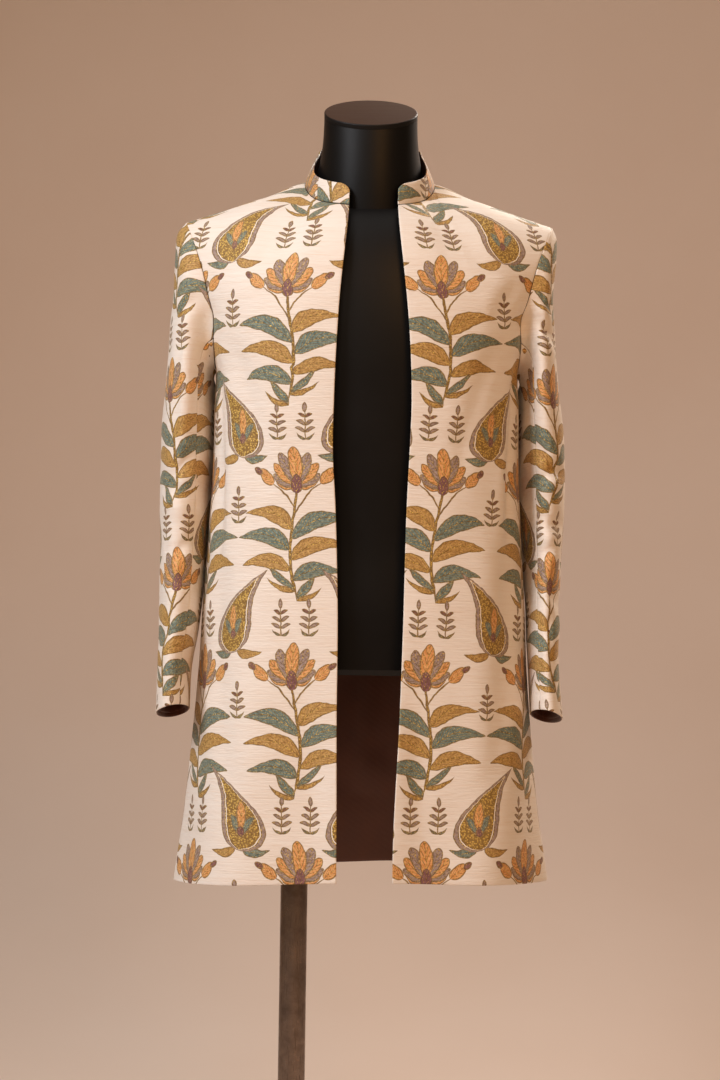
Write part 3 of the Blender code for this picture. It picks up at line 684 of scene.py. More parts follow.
@dataclass
class CoatBody:
    """The two fronts and the back, each cut in one from shoulder to hem."""

    hem: float = 0.580
    front_hem_rise: float = 0.017  # from the side seam to the front edge
    hem_slant: float = 0.0035  # how much higher the hem hangs at the wearer's left side
    underarm: float = 1.235
    shoulder: tuple[float, float] = (0.237, 1.428)  # x and z of the armhole's top
    armhole_reach: float = 0.067
    armhole_belly: float = 0.15
    neck_half_width: float = 0.0845
    neck_front: float = 0.0941
    neck_back: float = 0.0720
    # Rows and columns are numbered as on the part's own grid, so that seams meet.
    row_marks: tuple[float, ...] = (0.0, 10.0, 14.0, 21.0)  # hem, underarm, yoke foot, shoulder
    column_marks: tuple[float, ...] = (0.0, 4.0, 6.0, 13.0)  # edge, collar seam, neck, armhole
    step: float = 0.0036
    flat_level: float = 1.0  # the height that the print starts from on every panel
    # The lengths that the close rows and columns are shared out over.
    neck_run: float = 0.115
    shoulder_run: float = 0.125
    armhole_run: float = 0.075
    yoke_run: float = 0.185
    soft_passes: int = 60
    soft_rows: float = 2.6
    drape_from: float = 0.900  # the height below which the hem's slant sets in
    plants_at: tuple[float, float] = (0.088, 1.050)  # where a plant stands on the left front
    front_edges: Table = Table("height right left", (
        (0.560, 0.0290, 0.0405), (0.640, 0.0295, 0.0400), (0.800, 0.0315, 0.0460),
        (0.932, 0.0323, 0.0492), (1.050, 0.0364, 0.0510), (1.145, 0.0414, 0.0543),
        (1.180, 0.0410, 0.0554), (1.240, 0.0395, 0.0540), (1.300, 0.0370, 0.0500),
        (1.350, 0.0340, 0.0440),
    ))
    neck_ends: dict[Side, float] = by_side(0.0360, 0.0260)
    collar_seams: dict[Side, float] = by_side(0.0750, 0.0670)
    # A fold at the front of each armpit, where body and sleeve are drawn in together.
    fold: tuple[Vector3, Vector3] = ((0.204, -0.064, 1.300), (0.199, -0.012, 1.238))
    fold_way: Vector3 = (-0.5, 0.85, 0.0)
    fold_reach: float = 0.018
    fold_depth: dict[Side, float] = by_side(0.0120, 0.0075)
    folds: dict[str, Folds] = field(default_factory=lambda: BODY_FOLDS)

    @property
    def foot_turn(self) -> float:
        """The armhole's angle at the foot of the yoke."""
        rise = self.shoulder[1] - self.underarm
        return math.acos(1 - 2 * (COAT_SHAPE.yoke_foot - self.underarm) / rise)

    def armhole_reach_at(self, height: Array) -> Array:
        """How far the armhole stands before the side seam at a height: an egg on its point.

        Args:
            height: The heights.

        Returns:
            The reach at each.
        """
        rise = self.shoulder[1] - self.underarm
        turn = np.arccos(np.clip(1 - 2 * (height - self.underarm) / rise, -1, 1))
        return self.armhole_reach * np.sin(turn) * (1 + self.armhole_belly * np.cos(turn))

    def row_levels(self, rows: Array) -> Array:
        """The height of each row up to the yoke's foot, even in the skirt and by angle above.

        Args:
            rows: The rows, numbered as on the part.

        Returns:
            Their heights at the side.
        """
        _, under, foot, _ = self.row_marks
        skirt = self.hem + (self.underarm - self.hem) * rows / under
        turn = self.foot_turn * (rows - under) / (foot - under)
        armhole = self.underarm + (self.shoulder[1] - self.underarm) * (1 - np.cos(turn)) / 2
        return np.where(rows <= under, skirt, armhole)

    def level_points(self, across: Array, level: Array, facing: int, edge: Side | None) -> Array:
        """Points on the level sections, from the middle or front edge (0) to the side (1).

        Args:
            across: The columns.
            level: The rows' heights at the side.
            facing: -1 for the front and 1 for the back.
            edge: The side whose front edge bounds the panel, or none for the back.

        Returns:
            The points.
        """
        rise = self.front_hem_rise * (1 - across) if edge else 0 * across
        foot = COAT_SHAPE.yoke_foot
        height = level + rise * (foot - level) / (foot - self.hem)
        start = 0 * height
        if edge:
            reach = self.front_edges.at(height, edge.label) / COAT_SHAPE.size(height, "half")
            start = COAT_SHAPE.oval_angle(reach, along=False)
        opening = self.armhole_reach_at(height) / COAT_SHAPE.depth(height, facing)
        open_at = COAT_SHAPE.oval_angle(opening, along=True)
        finish = np.where(height <= self.underarm, math.pi / 2, open_at)
        return COAT_SHAPE.level(height, start, finish, across, facing)

    def neck_angles(self, across: Array, edge: Side | None) -> Array:
        """The neckline's angle at each column: to the collar's seam, then to the side.

        Args:
            across: The columns.
            edge: The side whose front edge bounds the panel, or none for the back.

        Returns:
            The angles.
        """
        _, seam, side, _ = self.column_marks
        at, turn = [0.0, side], [0.0, math.pi / 2]
        if edge:
            ends = (self.neck_ends[edge], self.collar_seams[edge])
            at = [0.0, seam, side]
            turn = [*(math.asin(x / self.neck_half_width) for x in ends), math.pi / 2]
        return np.interp(across * self.column_marks[-1], at, turn)

    def half_panel(self, facing: int, edge: Side | None, across: Array, rows: Array) -> Array:
        """Half a body panel on +X, from its hem to its shoulder seam.

        Args:
            facing: -1 for the front and 1 for the back.
            edge: The side whose front edge bounds the panel, or none for the back.
            across: The columns, from 0 (the middle) to 1 (the side).
            rows: The rows, numbered as on the part.

        Returns:
            A grid of points on the outer face.
        """
        _, _, foot_row, top_row = self.row_marks
        levels = self.row_levels(rows[rows <= foot_row])[:, None]
        lower = self.level_points(across[None], levels, facing, edge)
        foot, below = (
            self.level_points(across, COAT_SHAPE.yoke_foot - down + 0 * across, facing, edge)
            for down in (0.0, SMALL_DROP)
        )
        in_neck = across <= NECK_SHARE + 1e-9
        angles = self.neck_angles(across[in_neck], edge)
        depth = self.neck_front if facing < 0 else self.neck_back
        neck = COAT_SHAPE.neckline(angles, facing, self.neck_half_width, depth)
        out = (across[~in_neck] - NECK_SHARE) / (1 - NECK_SHARE)
        seam_x = self.neck_half_width + out * (self.shoulder[0] - self.neck_half_width)
        seam = np.stack([seam_x, 0 * seam_x, COAT_SHAPE.ridge.at(seam_x, "height")], axis=-1)
        upper = rising_rows(
            foot, unit(foot - below), np.concatenate([neck, seam]),
            COAT_SHAPE.yoke_slopes(neck, angles, seam_x, facing),
            COAT_SHAPE.full.at(across, "fullness"),
            (rows[rows > foot_row] - foot_row) / (top_row - foot_row),
        )
        return np.concatenate([lower, upper])

    def columns(self) -> Array:
        """The columns of half a panel, close together at its edges.

        Returns:
            The columns, from 0 to 1.
        """
        inner = stations(self.neck_run, self.step, last=False)
        outer = stations(self.shoulder_run, self.step, first=False)
        return np.concatenate([inner * NECK_SHARE, NECK_SHARE + outer[1:] * (1 - NECK_SHARE)])

    def rows(self) -> Array:
        """The rows of a panel, close together at the hem and at the shoulder.

        Returns:
            The rows, numbered as on the part.
        """
        _, under, foot, top = self.row_marks
        skirt = stations(self.underarm - self.hem, self.step, last=False) * under
        armhole = stations(self.armhole_run, self.step, first=False, last=False)
        armhole = under + armhole * (foot - under)
        yoke = foot + stations(self.yoke_run, self.step, first=False) * (top - foot)
        return np.concatenate([skirt, armhole[1:], yoke[1:]])

    def softened(self, face: Array, rows: Array, across: Array) -> Array:
        """The panel with the change from level sections to yoke smoothed over, but not its edge.

        Args:
            face: The panel.
            rows: Its rows.
            across: Its columns.

        Returns:
            The smoothed panel.
        """
        soft = face.copy()
        for _ in range(self.soft_passes):
            soft[1:-1] = soft[1:-1] / 2 + (soft[:-2] + soft[2:]) / 4
        near_foot = np.exp(-(((rows - self.row_marks[2]) / self.soft_rows) ** 2))[:, None]
        held = 1 - np.abs(across)[None] ** 10
        return face + (near_foot * held)[..., None] * (soft - face)

    def armhole(self, turn: Array) -> Array:
        """The armhole at any angle: 0 under the arm, by the front to pi on top, and back.

        Args:
            turn: The angles.

        Returns:
            A point for each.
        """
        rows = self.rows()
        _, under, foot, top = self.row_marks
        rows = rows[rows >= under]
        known = np.interp(rows, [under, foot, top], [0, self.foot_turn, math.pi])
        sides = []
        for facing, at in ((-1, turn), (1, WHOLE_TURN - turn)):
            ring = self.half_panel(facing, None, np.array([0.0, NECK_SHARE, 1.0]), rows)[:, -1]
            sides.append(np.stack([np.interp(at, known, ring[:, k]) for k in range(3)], axis=-1))
        return np.where((turn <= math.pi)[..., None], *sides)

    def drawn_in(self, face: Array) -> Array:
        """The points near an armpit's front fold, moved in and back by exp(-(d/reach)^2).

        Args:
            face: Points on either side, where d is a point's distance from the fold's line.

        Returns:
            The moved points.
        """
        start, end = (np.array(point) for point in self.fold)
        way = end - start
        left = face[..., :1] > 0
        turned = np.where(left, np.ones(3), [-1.0, 1.0, 1.0])
        from_start = face * turned - start
        t = np.clip(from_start @ way / (way @ way), 0, 1)[..., None]
        off = np.linalg.norm(from_start - t * way, axis=-1, keepdims=True)
        depth = np.where(left, self.fold_depth[Side.LEFT], self.fold_depth[Side.RIGHT])
        return face + depth * np.exp(-((off / self.fold_reach) ** 2)) * self.fold_way * turned

    def make(
        self, name: str, face: Array, flat: Array, facing: int, cloth: tuple[Material, Material]
    ) -> None:
        """Hangs a panel, drawn in at the armpits and its hem higher on the left, and builds it.

        Args:
            name: The CAD node's name.
            face: The creased face.
            flat: Its flat cut.
            facing: -1 for a front and 1 for the back.
            cloth: The finishes outside and inside.
        """
        face = self.drawn_in(face)
        low = 1 - eased(face[..., 2], self.hem, self.drape_from)
        face[..., 2] += self.hem_slant * low * face[..., 0] / COAT_SHAPE.rows[0][1]
        beside = facing * SEAM_GAP / 2
        ClothPiece(
            "coat_" + name, name, face, face * UP, flat, "draped", ["torso_form"], beside=beside
        ).build(*cloth)

    def relieved(self, face: Array, flat: Array, name: str) -> Array:
        """The face with its creases, which fade out at the seams but not at the free edges.

        Args:
            face: The smooth panel.
            flat: Its flat cut.
            name: Whose folds it has.

        Returns:
            The creased panel.
        """
        along, up = run_along(face, 1), run_along(face, 0)
        hold = eased(along[:, -1:] - along, 0, SEAM_HOLD) * eased(up[-1:] - up, 0, SEAM_HOLD)
        if name == "back":
            hold = hold * eased(along, 0, SEAM_HOLD)
        move = self.folds[name].relief(flat) * hold
        return face + move[..., None] * outward(face, face * UP)[0]

    def build(self, cloth: tuple[Material, Material]) -> None:
        """Makes both fronts and the back.

        Args:
            cloth: The finishes outside and inside.
        """
        across, rows = self.columns(), self.rows()
        for side in Side:
            face = self.softened(self.half_panel(-1, side, across, rows), rows, across)
            flat = flattened(
                face, grain=0.0, height=self.flat_level,
                across=self.front_edges.at(self.flat_level, side.label),
            )
            face = self.relieved(face, flat, side.label)
            flat = flat - np.array(self.plants_at)
            if side is Side.RIGHT:
                face, flat = mirrored(face), mirrored(flat)
            self.make("front_" + side.label, face, flat, -1, cloth)
        half = self.half_panel(1, None, across, rows)
        whole = np.concatenate([-across[::-1], across[1:]])
        # The back has no edge at its middle, so the close columns there are left out.
        kept = (np.abs(whole) > across[3] * 1.001) | (whole == 0)
        face = np.concatenate([mirrored(half)[:, ::-1], half[:, 1:]], axis=1)[:, kept]
        face = self.softened(face, rows, whole[kept])
        flat = flattened(face, grain=0.5, height=self.flat_level)
        face = self.relieved(face, flat, "back")
        self.make("back", face, mirrored(flat) - [0.0, self.plants_at[1]], 1, cloth)


# The sleeves --------------------


SLEEVE_RINGS = Table(
    "row outer_z inner_z outer_left inner_left outer_right inner_right centre_y half_depth pitch",
    (
        (0, 1.428, 1.235, 0.2370, 0.1990, 0.2370, 0.1990, 0.000, 0.067, 0.00),
        (1, 1.412, 1.231, 0.2430, 0.2020, 0.2485, 0.2015, 0.001, 0.069, 0.00),
        (2, 1.382, 1.223, 0.2425, 0.2045, 0.2508, 0.2040, 0.003, 0.073, 0.00),
        (3, 1.335, 1.210, 0.2400, 0.2055, 0.2532, 0.2055, 0.005, 0.077, 0.00),
        (4, 1.270, 1.190, 0.2440, 0.2052, 0.2577, 0.2048, 0.006, 0.078, 0.00),
        (5, 1.205, 1.165, 0.2510, 0.2050, 0.2628, 0.2038, 0.008, 0.077, 0.00),
        (6, 1.140, 1.125, 0.2583, 0.2060, 0.2667, 0.2034, 0.010, 0.074, 0.02),
        (7, 1.075, 1.070, 0.2588, 0.2078, 0.2668, 0.2042, 0.009, 0.070, 0.05),
        (8, 1.015, 1.013, 0.2562, 0.2103, 0.2656, 0.2064, 0.005, 0.067, 0.08),
        (9, 0.955, 0.956, 0.2536, 0.2127, 0.2650, 0.2100, -0.005, 0.065, 0.12),
        (10, 0.900, 0.903, 0.2532, 0.2145, 0.2654, 0.2155, -0.018, 0.063, 0.15),
        (11, 0.850, 0.856, 0.2552, 0.2168, 0.2660, 0.2226, -0.031, 0.061, 0.18),
        (12, 0.793, 0.803, 0.2600, 0.2190, 0.2660, 0.2236, -0.045, 0.059, 0.195),
    ),
)
# How far in the inner side hangs behind the body, and how far the whole sleeve.
SLEEVE_TUCK = {
    Side.LEFT: Table("height behind whole", (
        (0.793, 0.0004, 0.0040), (0.850, 0.0006, 0.0034), (0.890, 0.0016, 0.0024),
        (0.930, 0.0026, 0.0012), (0.990, 0.0056, 0.0002), (1.080, 0.0092, 0.0),
        (1.170, 0.0094, 0.0), (1.200, 0.0104, 0.0), (1.214, 0.0100, 0.0), (1.223, 0.0064, 0.0),
        (1.231, 0.0020, 0.0), (1.236, 0.0, 0.0), (1.250, 0.0, 0.0), (1.600, 0.0, 0.0),
    )),
    Side.RIGHT: Table("height behind whole", (
        (0.793, 0.0, 0.0026), (0.850, 0.0, 0.0026), (0.890, 0.0004, 0.0022),
        (0.930, 0.0016, 0.0010), (0.990, 0.0020, 0.0002), (1.050, 0.0038, 0.0),
        (1.110, 0.0062, 0.0), (1.170, 0.0084, 0.0), (1.200, 0.0104, 0.0), (1.214, 0.0100, 0.0),
        (1.223, 0.0064, 0.0), (1.231, 0.0020, 0.0), (1.236, 0.0, 0.0), (1.250, 0.0, 0.0),
        (1.600, 0.0, 0.0),
    )),
}
# Creases by their place round the arm, from the front line outwards, and by height.
SLEEVE_FOLDS = {
    Side.LEFT: Folds(0.0007, (
        (-0.038, 1.350, 0.062, 1.318, 0.0058, 0.008, 0.005),
        (-0.024, 1.318, 0.078, 1.276, 0.0044, 0.010, 0.005),
        (-0.050, 1.155, 0.052, 1.108, 0.0063, 0.010, 0.008),
        (-0.055, 1.092, 0.066, 1.112, 0.0079, 0.009, -0.008),
        (-0.050, 1.062, 0.080, 1.046, 0.0073, 0.011, 0.009),
        (-0.045, 1.006, 0.056, 1.028, 0.0060, 0.010, 0.006),
        (0.005, 0.966, 0.105, 0.936, 0.0036, 0.012, 0.005),
        (-0.035, 0.898, 0.064, 0.928, 0.0033, 0.012, -0.005),
        (0.024, 1.000, 0.020, 0.830, 0.0041, 0.014, 0.006),
        (0.118, 1.124, 0.218, 1.078, 0.0060, 0.012, 0.007),
        (0.108, 1.056, 0.224, 1.044, 0.0067, 0.013, -0.007),
        (0.118, 1.306, 0.212, 1.346, 0.0041, 0.011, 0.005),
        (0.128, 0.978, 0.212, 1.002, 0.0038, 0.012, 0.005),
    )),
    Side.RIGHT: Folds(0.0007, (
        (-0.028, 1.340, 0.070, 1.296, 0.0038, 0.010, 0.006),
        (-0.055, 1.145, 0.050, 1.092, 0.0060, 0.011, 0.008),
        (-0.050, 1.062, 0.066, 1.082, 0.0067, 0.011, -0.008),
        (-0.055, 1.022, 0.050, 1.000, 0.0054, 0.010, 0.006),
        (-0.050, 0.962, 0.060, 0.982, 0.0036, 0.011, 0.005),
        (-0.005, 0.914, 0.090, 0.892, 0.0030, 0.012, 0.005),
        (0.030, 1.300, 0.024, 1.120, 0.0027, 0.014, 0.006),
        (0.118, 1.112, 0.218, 1.074, 0.0060, 0.012, 0.007),
        (0.108, 1.040, 0.224, 1.052, 0.0060, 0.013, -0.007),
        (0.122, 1.318, 0.208, 1.352, 0.0038, 0.011, 0.005),
        (0.138, 0.948, 0.218, 0.976, 0.0033, 0.012, 0.005),
    )),
}


@dataclass
class Sleeve:
    """A two-piece sleeve: the top sleeve, the under sleeve and the lining inside the cuff."""

    side: Side
    body: CoatBody
    length: float = 0.62
    rings: Table = SLEEVE_RINGS
    tucks: dict[Side, Table] = field(default_factory=lambda: SLEEVE_TUCK)
    folds: dict[Side, Folds] = field(default_factory=lambda: SLEEVE_FOLDS)
    wall: float = 0.002
    lining_wall: float = 0.001
    lining_gap: float = 0.0008
    seam_half_gap: float = 0.0003
    seam_turn: float = 0.9286  # the angle from the underarm to each sleeve seam
    radius: float = 0.068  # turns the angle round the arm into metres for the creases
    least_fold: float = 0.35  # the share of a crease that is left at the cuff and by the body
    cuff_hold: float = 0.04
    behind_turn: float = 0.45  # the angle behind the underarm line where it hangs in most
    behind_narrow: float = 8.0  # the power that keeps it to that place
    lining_rows: tuple[float, float] = (11.9, 10.0)
    lining_length: float = 0.110
    lining_step: float = 0.003
    lining_columns: int = 100
    print_at: tuple[float, float] = (0.080, -0.090)  # where the print starts on top and under
    print_drop: float = 0.135
    hold: Table = Table("row hold", (
        (0, 1.0), (1, 0.60), (2, 0.30), (3, 0.10), (4, 0.0), (5, 0.0), (12, 0.0),
    ))
    step: float = 0.0038

    def ring(self, rows: Array, turn: Array) -> Array:
        """Tilted ovals: x = inner + (outer - inner) (1 - cos t) / 2 and y = centre - depth sin t.

        Args:
            rows: The rows, from the armhole (0) to the cuff (12).
            turn: The angle round the arm from the underarm, by the front.

        Returns:
            A grid of points on the wearer's left side, tilted and pitched.
        """
        label = self.side.label
        outer_x, inner_x, outer_z, inner_z, centre, depth, pitch = (
            self.rings.at(rows, name)[:, None] for name in (
                "outer_" + label, "inner_" + label, "outer_z", "inner_z",
                "centre_y", "half_depth", "pitch",
            )
        )
        far = ((1 - np.cos(turn)) / 2)[None]
        y = centre - depth * np.sin(turn)[None]
        z = inner_z + (outer_z - inner_z) * far - pitch * (y - centre)
        return np.stack([inner_x + (outer_x - inner_x) * far, y, z], axis=-1)

    def surface(self, rows: Array, turn: Array) -> Array:
        """The smooth outer face, whose first rings lean over to the armhole's own line.

        Args:
            rows: The rows.
            turn: The angles round the arm.

        Returns:
            A grid of points on the wearer's left side.
        """
        armhole = self.body.armhole(turn) + np.array([SEAM_GAP, 0, 0])
        held = np.clip(self.hold.at(rows, "hold"), 0, 1)[:, None, None]
        return self.ring(rows, turn) + held * (armhole - self.ring(np.array([0.0]), turn)[0])

    def core(self, rows: Array) -> Array:
        """The middle of the arm at each row."""
        round_arm = np.linspace(0, WHOLE_TURN, 24)[:-1]
        return self.surface(rows, round_arm).mean(axis=1, keepdims=True)

    def creased(self, rows: Array, turn: Array) -> Array:
        """The outer face with its creases, hung in towards the body.

        Args:
            rows: The rows.
            turn: The angles round the arm.

        Returns:
            A grid of points on the wearer's left side.
        """
        smooth = self.surface(rows, turn)
        normals, _ = outward(smooth, self.core(rows))
        normals[0] = unit(normals[0] * np.array([0.0, 1.0, 1.0]))
        around = (turn[None] - math.pi / 2) * self.radius
        place = np.stack([around + 0 * smooth[..., 2], smooth[..., 2]], axis=-1)
        down = run_along(smooth, 0)
        least = self.least_fold
        near_cuff = least + (1 - least) * eased(down[-1:] - down, 0.0, self.cuff_hold)
        beside_body = least + (1 - least) * (1 - np.cos(turn))[None] / 2
        ends = eased(down, 0.0, SEAM_HOLD) * near_cuff
        move = self.folds[self.side].relief(place) * ends * beside_body
        creased = smooth + move[..., None] * normals
        near = ((1 + np.cos(turn + self.behind_turn)) / 2) ** self.behind_narrow
        tuck = self.tucks[self.side]
        creased[..., 0] -= tuck.at(smooth[..., 2], "behind") * near
        creased[..., 0] -= tuck.at(smooth[..., 2], "whole")
        return creased

    def make(
        self, name: str, node: str, face: Array, core: Array, flat: Array,
        finishes: tuple[Material, Material], **more: Any,
    ) -> None:
        """Mirrors a piece where it is the right one, draws it in at the armpit and builds it.

        Args:
            name: The piece's name, without its side.
            node: The CAD node's name, without its side.
            face: The outer face.
            core: What it looks away from.
            flat: Its flat cut.
            finishes: Outside and inside.
            **more: The piece's other settings.
        """
        if self.side is Side.RIGHT:
            face, core, flat = mirrored(face), mirrored(core), mirrored(flat)
        label = "_" + self.side.label
        rests_on = ["coat_front" + label, "coat_back"]
        face = self.body.drawn_in(face)
        ClothPiece(name + label, node + label, face, core, flat, "hung", rests_on, **more).build(
            *finishes
        )

    def build(self, cloth: tuple[Material, Material]) -> None:
        """Args:
            cloth: The finishes outside and inside.
        """
        rows = stations(self.length, self.step) * self.rings.rows[-1][0]
        off, seam = self.seam_half_gap / self.radius, self.seam_turn
        for kind, start, end, place in (
            ("top", seam + off, WHOLE_TURN - seam - off, self.print_at[0]),
            ("under", -seam + off, seam - off, self.print_at[1]),
        ):
            across = stations((end - start + 2 * off) * self.radius, self.step)
            face = self.creased(rows, (start + (end - start) * across) % WHOLE_TURN)
            flat = flattened(face[::-1], grain=0.5, height=self.body.flat_level, across=place)[::-1]
            flat = flat - [0.0, self.body.plants_at[1] - self.print_drop]
            self.make("sleeve_" + kind, kind + "_sleeve", face, self.core(rows), flat, cloth)
        # The lining's visible band, just inside the sleeve's own creased wall.
        last, first = self.lining_rows
        rows = first + (last - first) * stations(self.lining_length, self.lining_step)
        outer = self.creased(rows, np.linspace(0, WHOLE_TURN, self.lining_columns + 1)[:-1])
        core = outer.mean(axis=1, keepdims=True)
        face = outer - (self.wall + self.lining_gap) * outward(outer, core, closed=True)[0]
        run = run_along(np.concatenate([face, face[:, :1]], axis=1), 1).mean(axis=0)
        rise = run_along(face, 0).mean(axis=1)
        flat = np.stack(np.broadcast_arrays(run[None], -rise[:, None]), axis=-1)
        self.make(
            "cuff_lining_sewn", "cuff_lining", face, core, flat, (cloth[1], cloth[1]),
            wall=self.lining_wall, slot="lining", closed=True,
        )


# The collar --------------------


@dataclass
class StandCollar:
    """The stand collar in three pieces: a short front one on each side and a long back one."""

    body: CoatBody
    step: float = 0.0022
    height: float = 0.038  # about, to share out the rows
    flat_level: float = 1.49
    end_height: float = 0.016
    end_round: float = 0.016
    bow: float = 0.0010
    stand: Table = Table("angle height lean", (
        (10.0, 0.027, 8.0), (40.0, 0.0275, 5.0), (60.0, 0.030, 4.0), (75.0, 0.035, 15.0),
        (90.0, 0.0405, 24.0), (110.0, 0.0425, 22.0), (140.0, 0.044, 16.0),
        (180.0, 0.045, 14.0),
    ))

    def base(self, angle: Array) -> Array:
        """The neckline round from the right front, by the back, to the left front.

        Args:
            angle: The angles.

        Returns:
            A point for each.
        """
        depth = np.where(np.cos(angle) > 0, self.body.neck_front, self.body.neck_back)
        y = -depth * np.cos(angle)
        x = self.body.neck_half_width * np.sin(-angle)
        return np.stack([x, y, COAT_SHAPE.neck.at(y, "height")], axis=-1)

    def surface(self, angle: Array, climb: Array, ends: tuple[float, float]) -> Array:
        """The collar's outer face: straight up its own lean from the neckline.

        The stand shortens towards the front ends along a quarter circle, 1 - (1 - d/r)^2.

        Args:
            angle: The columns, by the angle round the neck from the front.
            climb: The rows, from 0 to 1.
            ends: The angles of the two front ends.

        Returns:
            A grid of points.
        """
        whole = np.linspace(*ends, 2000)
        run = run_along(self.base(whole)[None], 1)[0]
        at = np.interp(angle, whole, run)
        to_end = np.clip(np.minimum(at, run[-1] - at) / self.end_round, 0, 1)
        turn = np.degrees(np.minimum(angle, WHOLE_TURN - angle))
        stand = self.stand.at(turn, "height")
        stand = self.end_height + (stand - self.end_height) * np.sqrt(1 - (1 - to_end) ** 2)
        lean = np.radians(self.stand.at(turn, "lean"))[:, None]
        tangent = self.base(angle + 1e-4) - self.base(angle - 1e-4)
        inward = unit(np.cross(tangent * LEVEL, UP))
        base = self.base(angle)
        inward *= -np.sign(np.sum(inward * base * LEVEL, axis=-1, keepdims=True))
        rise = np.cos(lean) * UP + np.sin(lean) * inward
        bow = self.bow * np.sin(math.pi * climb)[:, None, None] * inward
        return base + SEAM_GAP * UP + climb[:, None, None] * stand[:, None] * rise - bow

    def build(self, cloth: tuple[Material, Material]) -> None:
        """Args:
            cloth: The finishes outside and inside.
        """
        radius = self.body.neck_half_width
        end, seam = (
            {side: math.asin(x / radius) for side, x in places.items()}
            for places in (self.body.neck_ends, self.body.collar_seams)
        )
        ends = (end[Side.RIGHT], WHOLE_TURN - end[Side.LEFT])
        right, left = seam[Side.RIGHT], WHOLE_TURN - seam[Side.LEFT]
        small = SEAM_GAP / 2 / radius
        for name, start, stop, across, rests_on in (
            ("front_right", ends[0], right - small, 0.00, ["coat_front_right"]),
            ("back", right + small, left - small, 0.16, ["coat_back", "coat_front_left"]),
            ("front_left", left + small, ends[1], 0.10, ["coat_front_left"]),
        ):
            angle = start + (stop - start) * stations((stop - start) * radius, self.step)
            face = self.surface(angle, stations(self.height, self.step), ends)
            flat = flattened(face, grain=0.5, height=self.flat_level, across=across)
            ClothPiece(
                "stand_collar_" + name, "collar_" + name, face, face * UP, flat, "hung", rests_on
            ).build(*cloth)


# The dress form and its stand --------------------

SHARP_FROM = math.radians(38)  # edges that bend more than this stay sharp
MERGED_WITHIN = 1e-6  # points closer than this are one


def closed_piece(
    name: str, node: str, slot: str, points: Array, faces: list[list[int]], finish: Material
) -> None:
    """One closed shell in a CAD node's place, its doubles merged and its faces outwards.

    Args:
        name: The piece's name.
        node: The CAD node that it stands for.
        slot: The record's material slot.
        points: Its points.
        faces: Its faces, as numbers of points.
        finish: Its material.
    """
    mesh = bpy.data.meshes.new(name)
    mesh.from_pydata(points.tolist(), [], faces)
    work = bmesh.new()
    work.from_mesh(mesh)
    bmesh.ops.remove_doubles(work, verts=work.verts, dist=MERGED_WITHIN)
    bmesh.ops.recalc_face_normals(work, faces=work.faces)
    work.to_mesh(mesh)
    work.free()
    piece = link(mesh, finish)
    mesh.set_sharp_from_angle(angle=SHARP_FROM)
    settle(piece, slot, node)


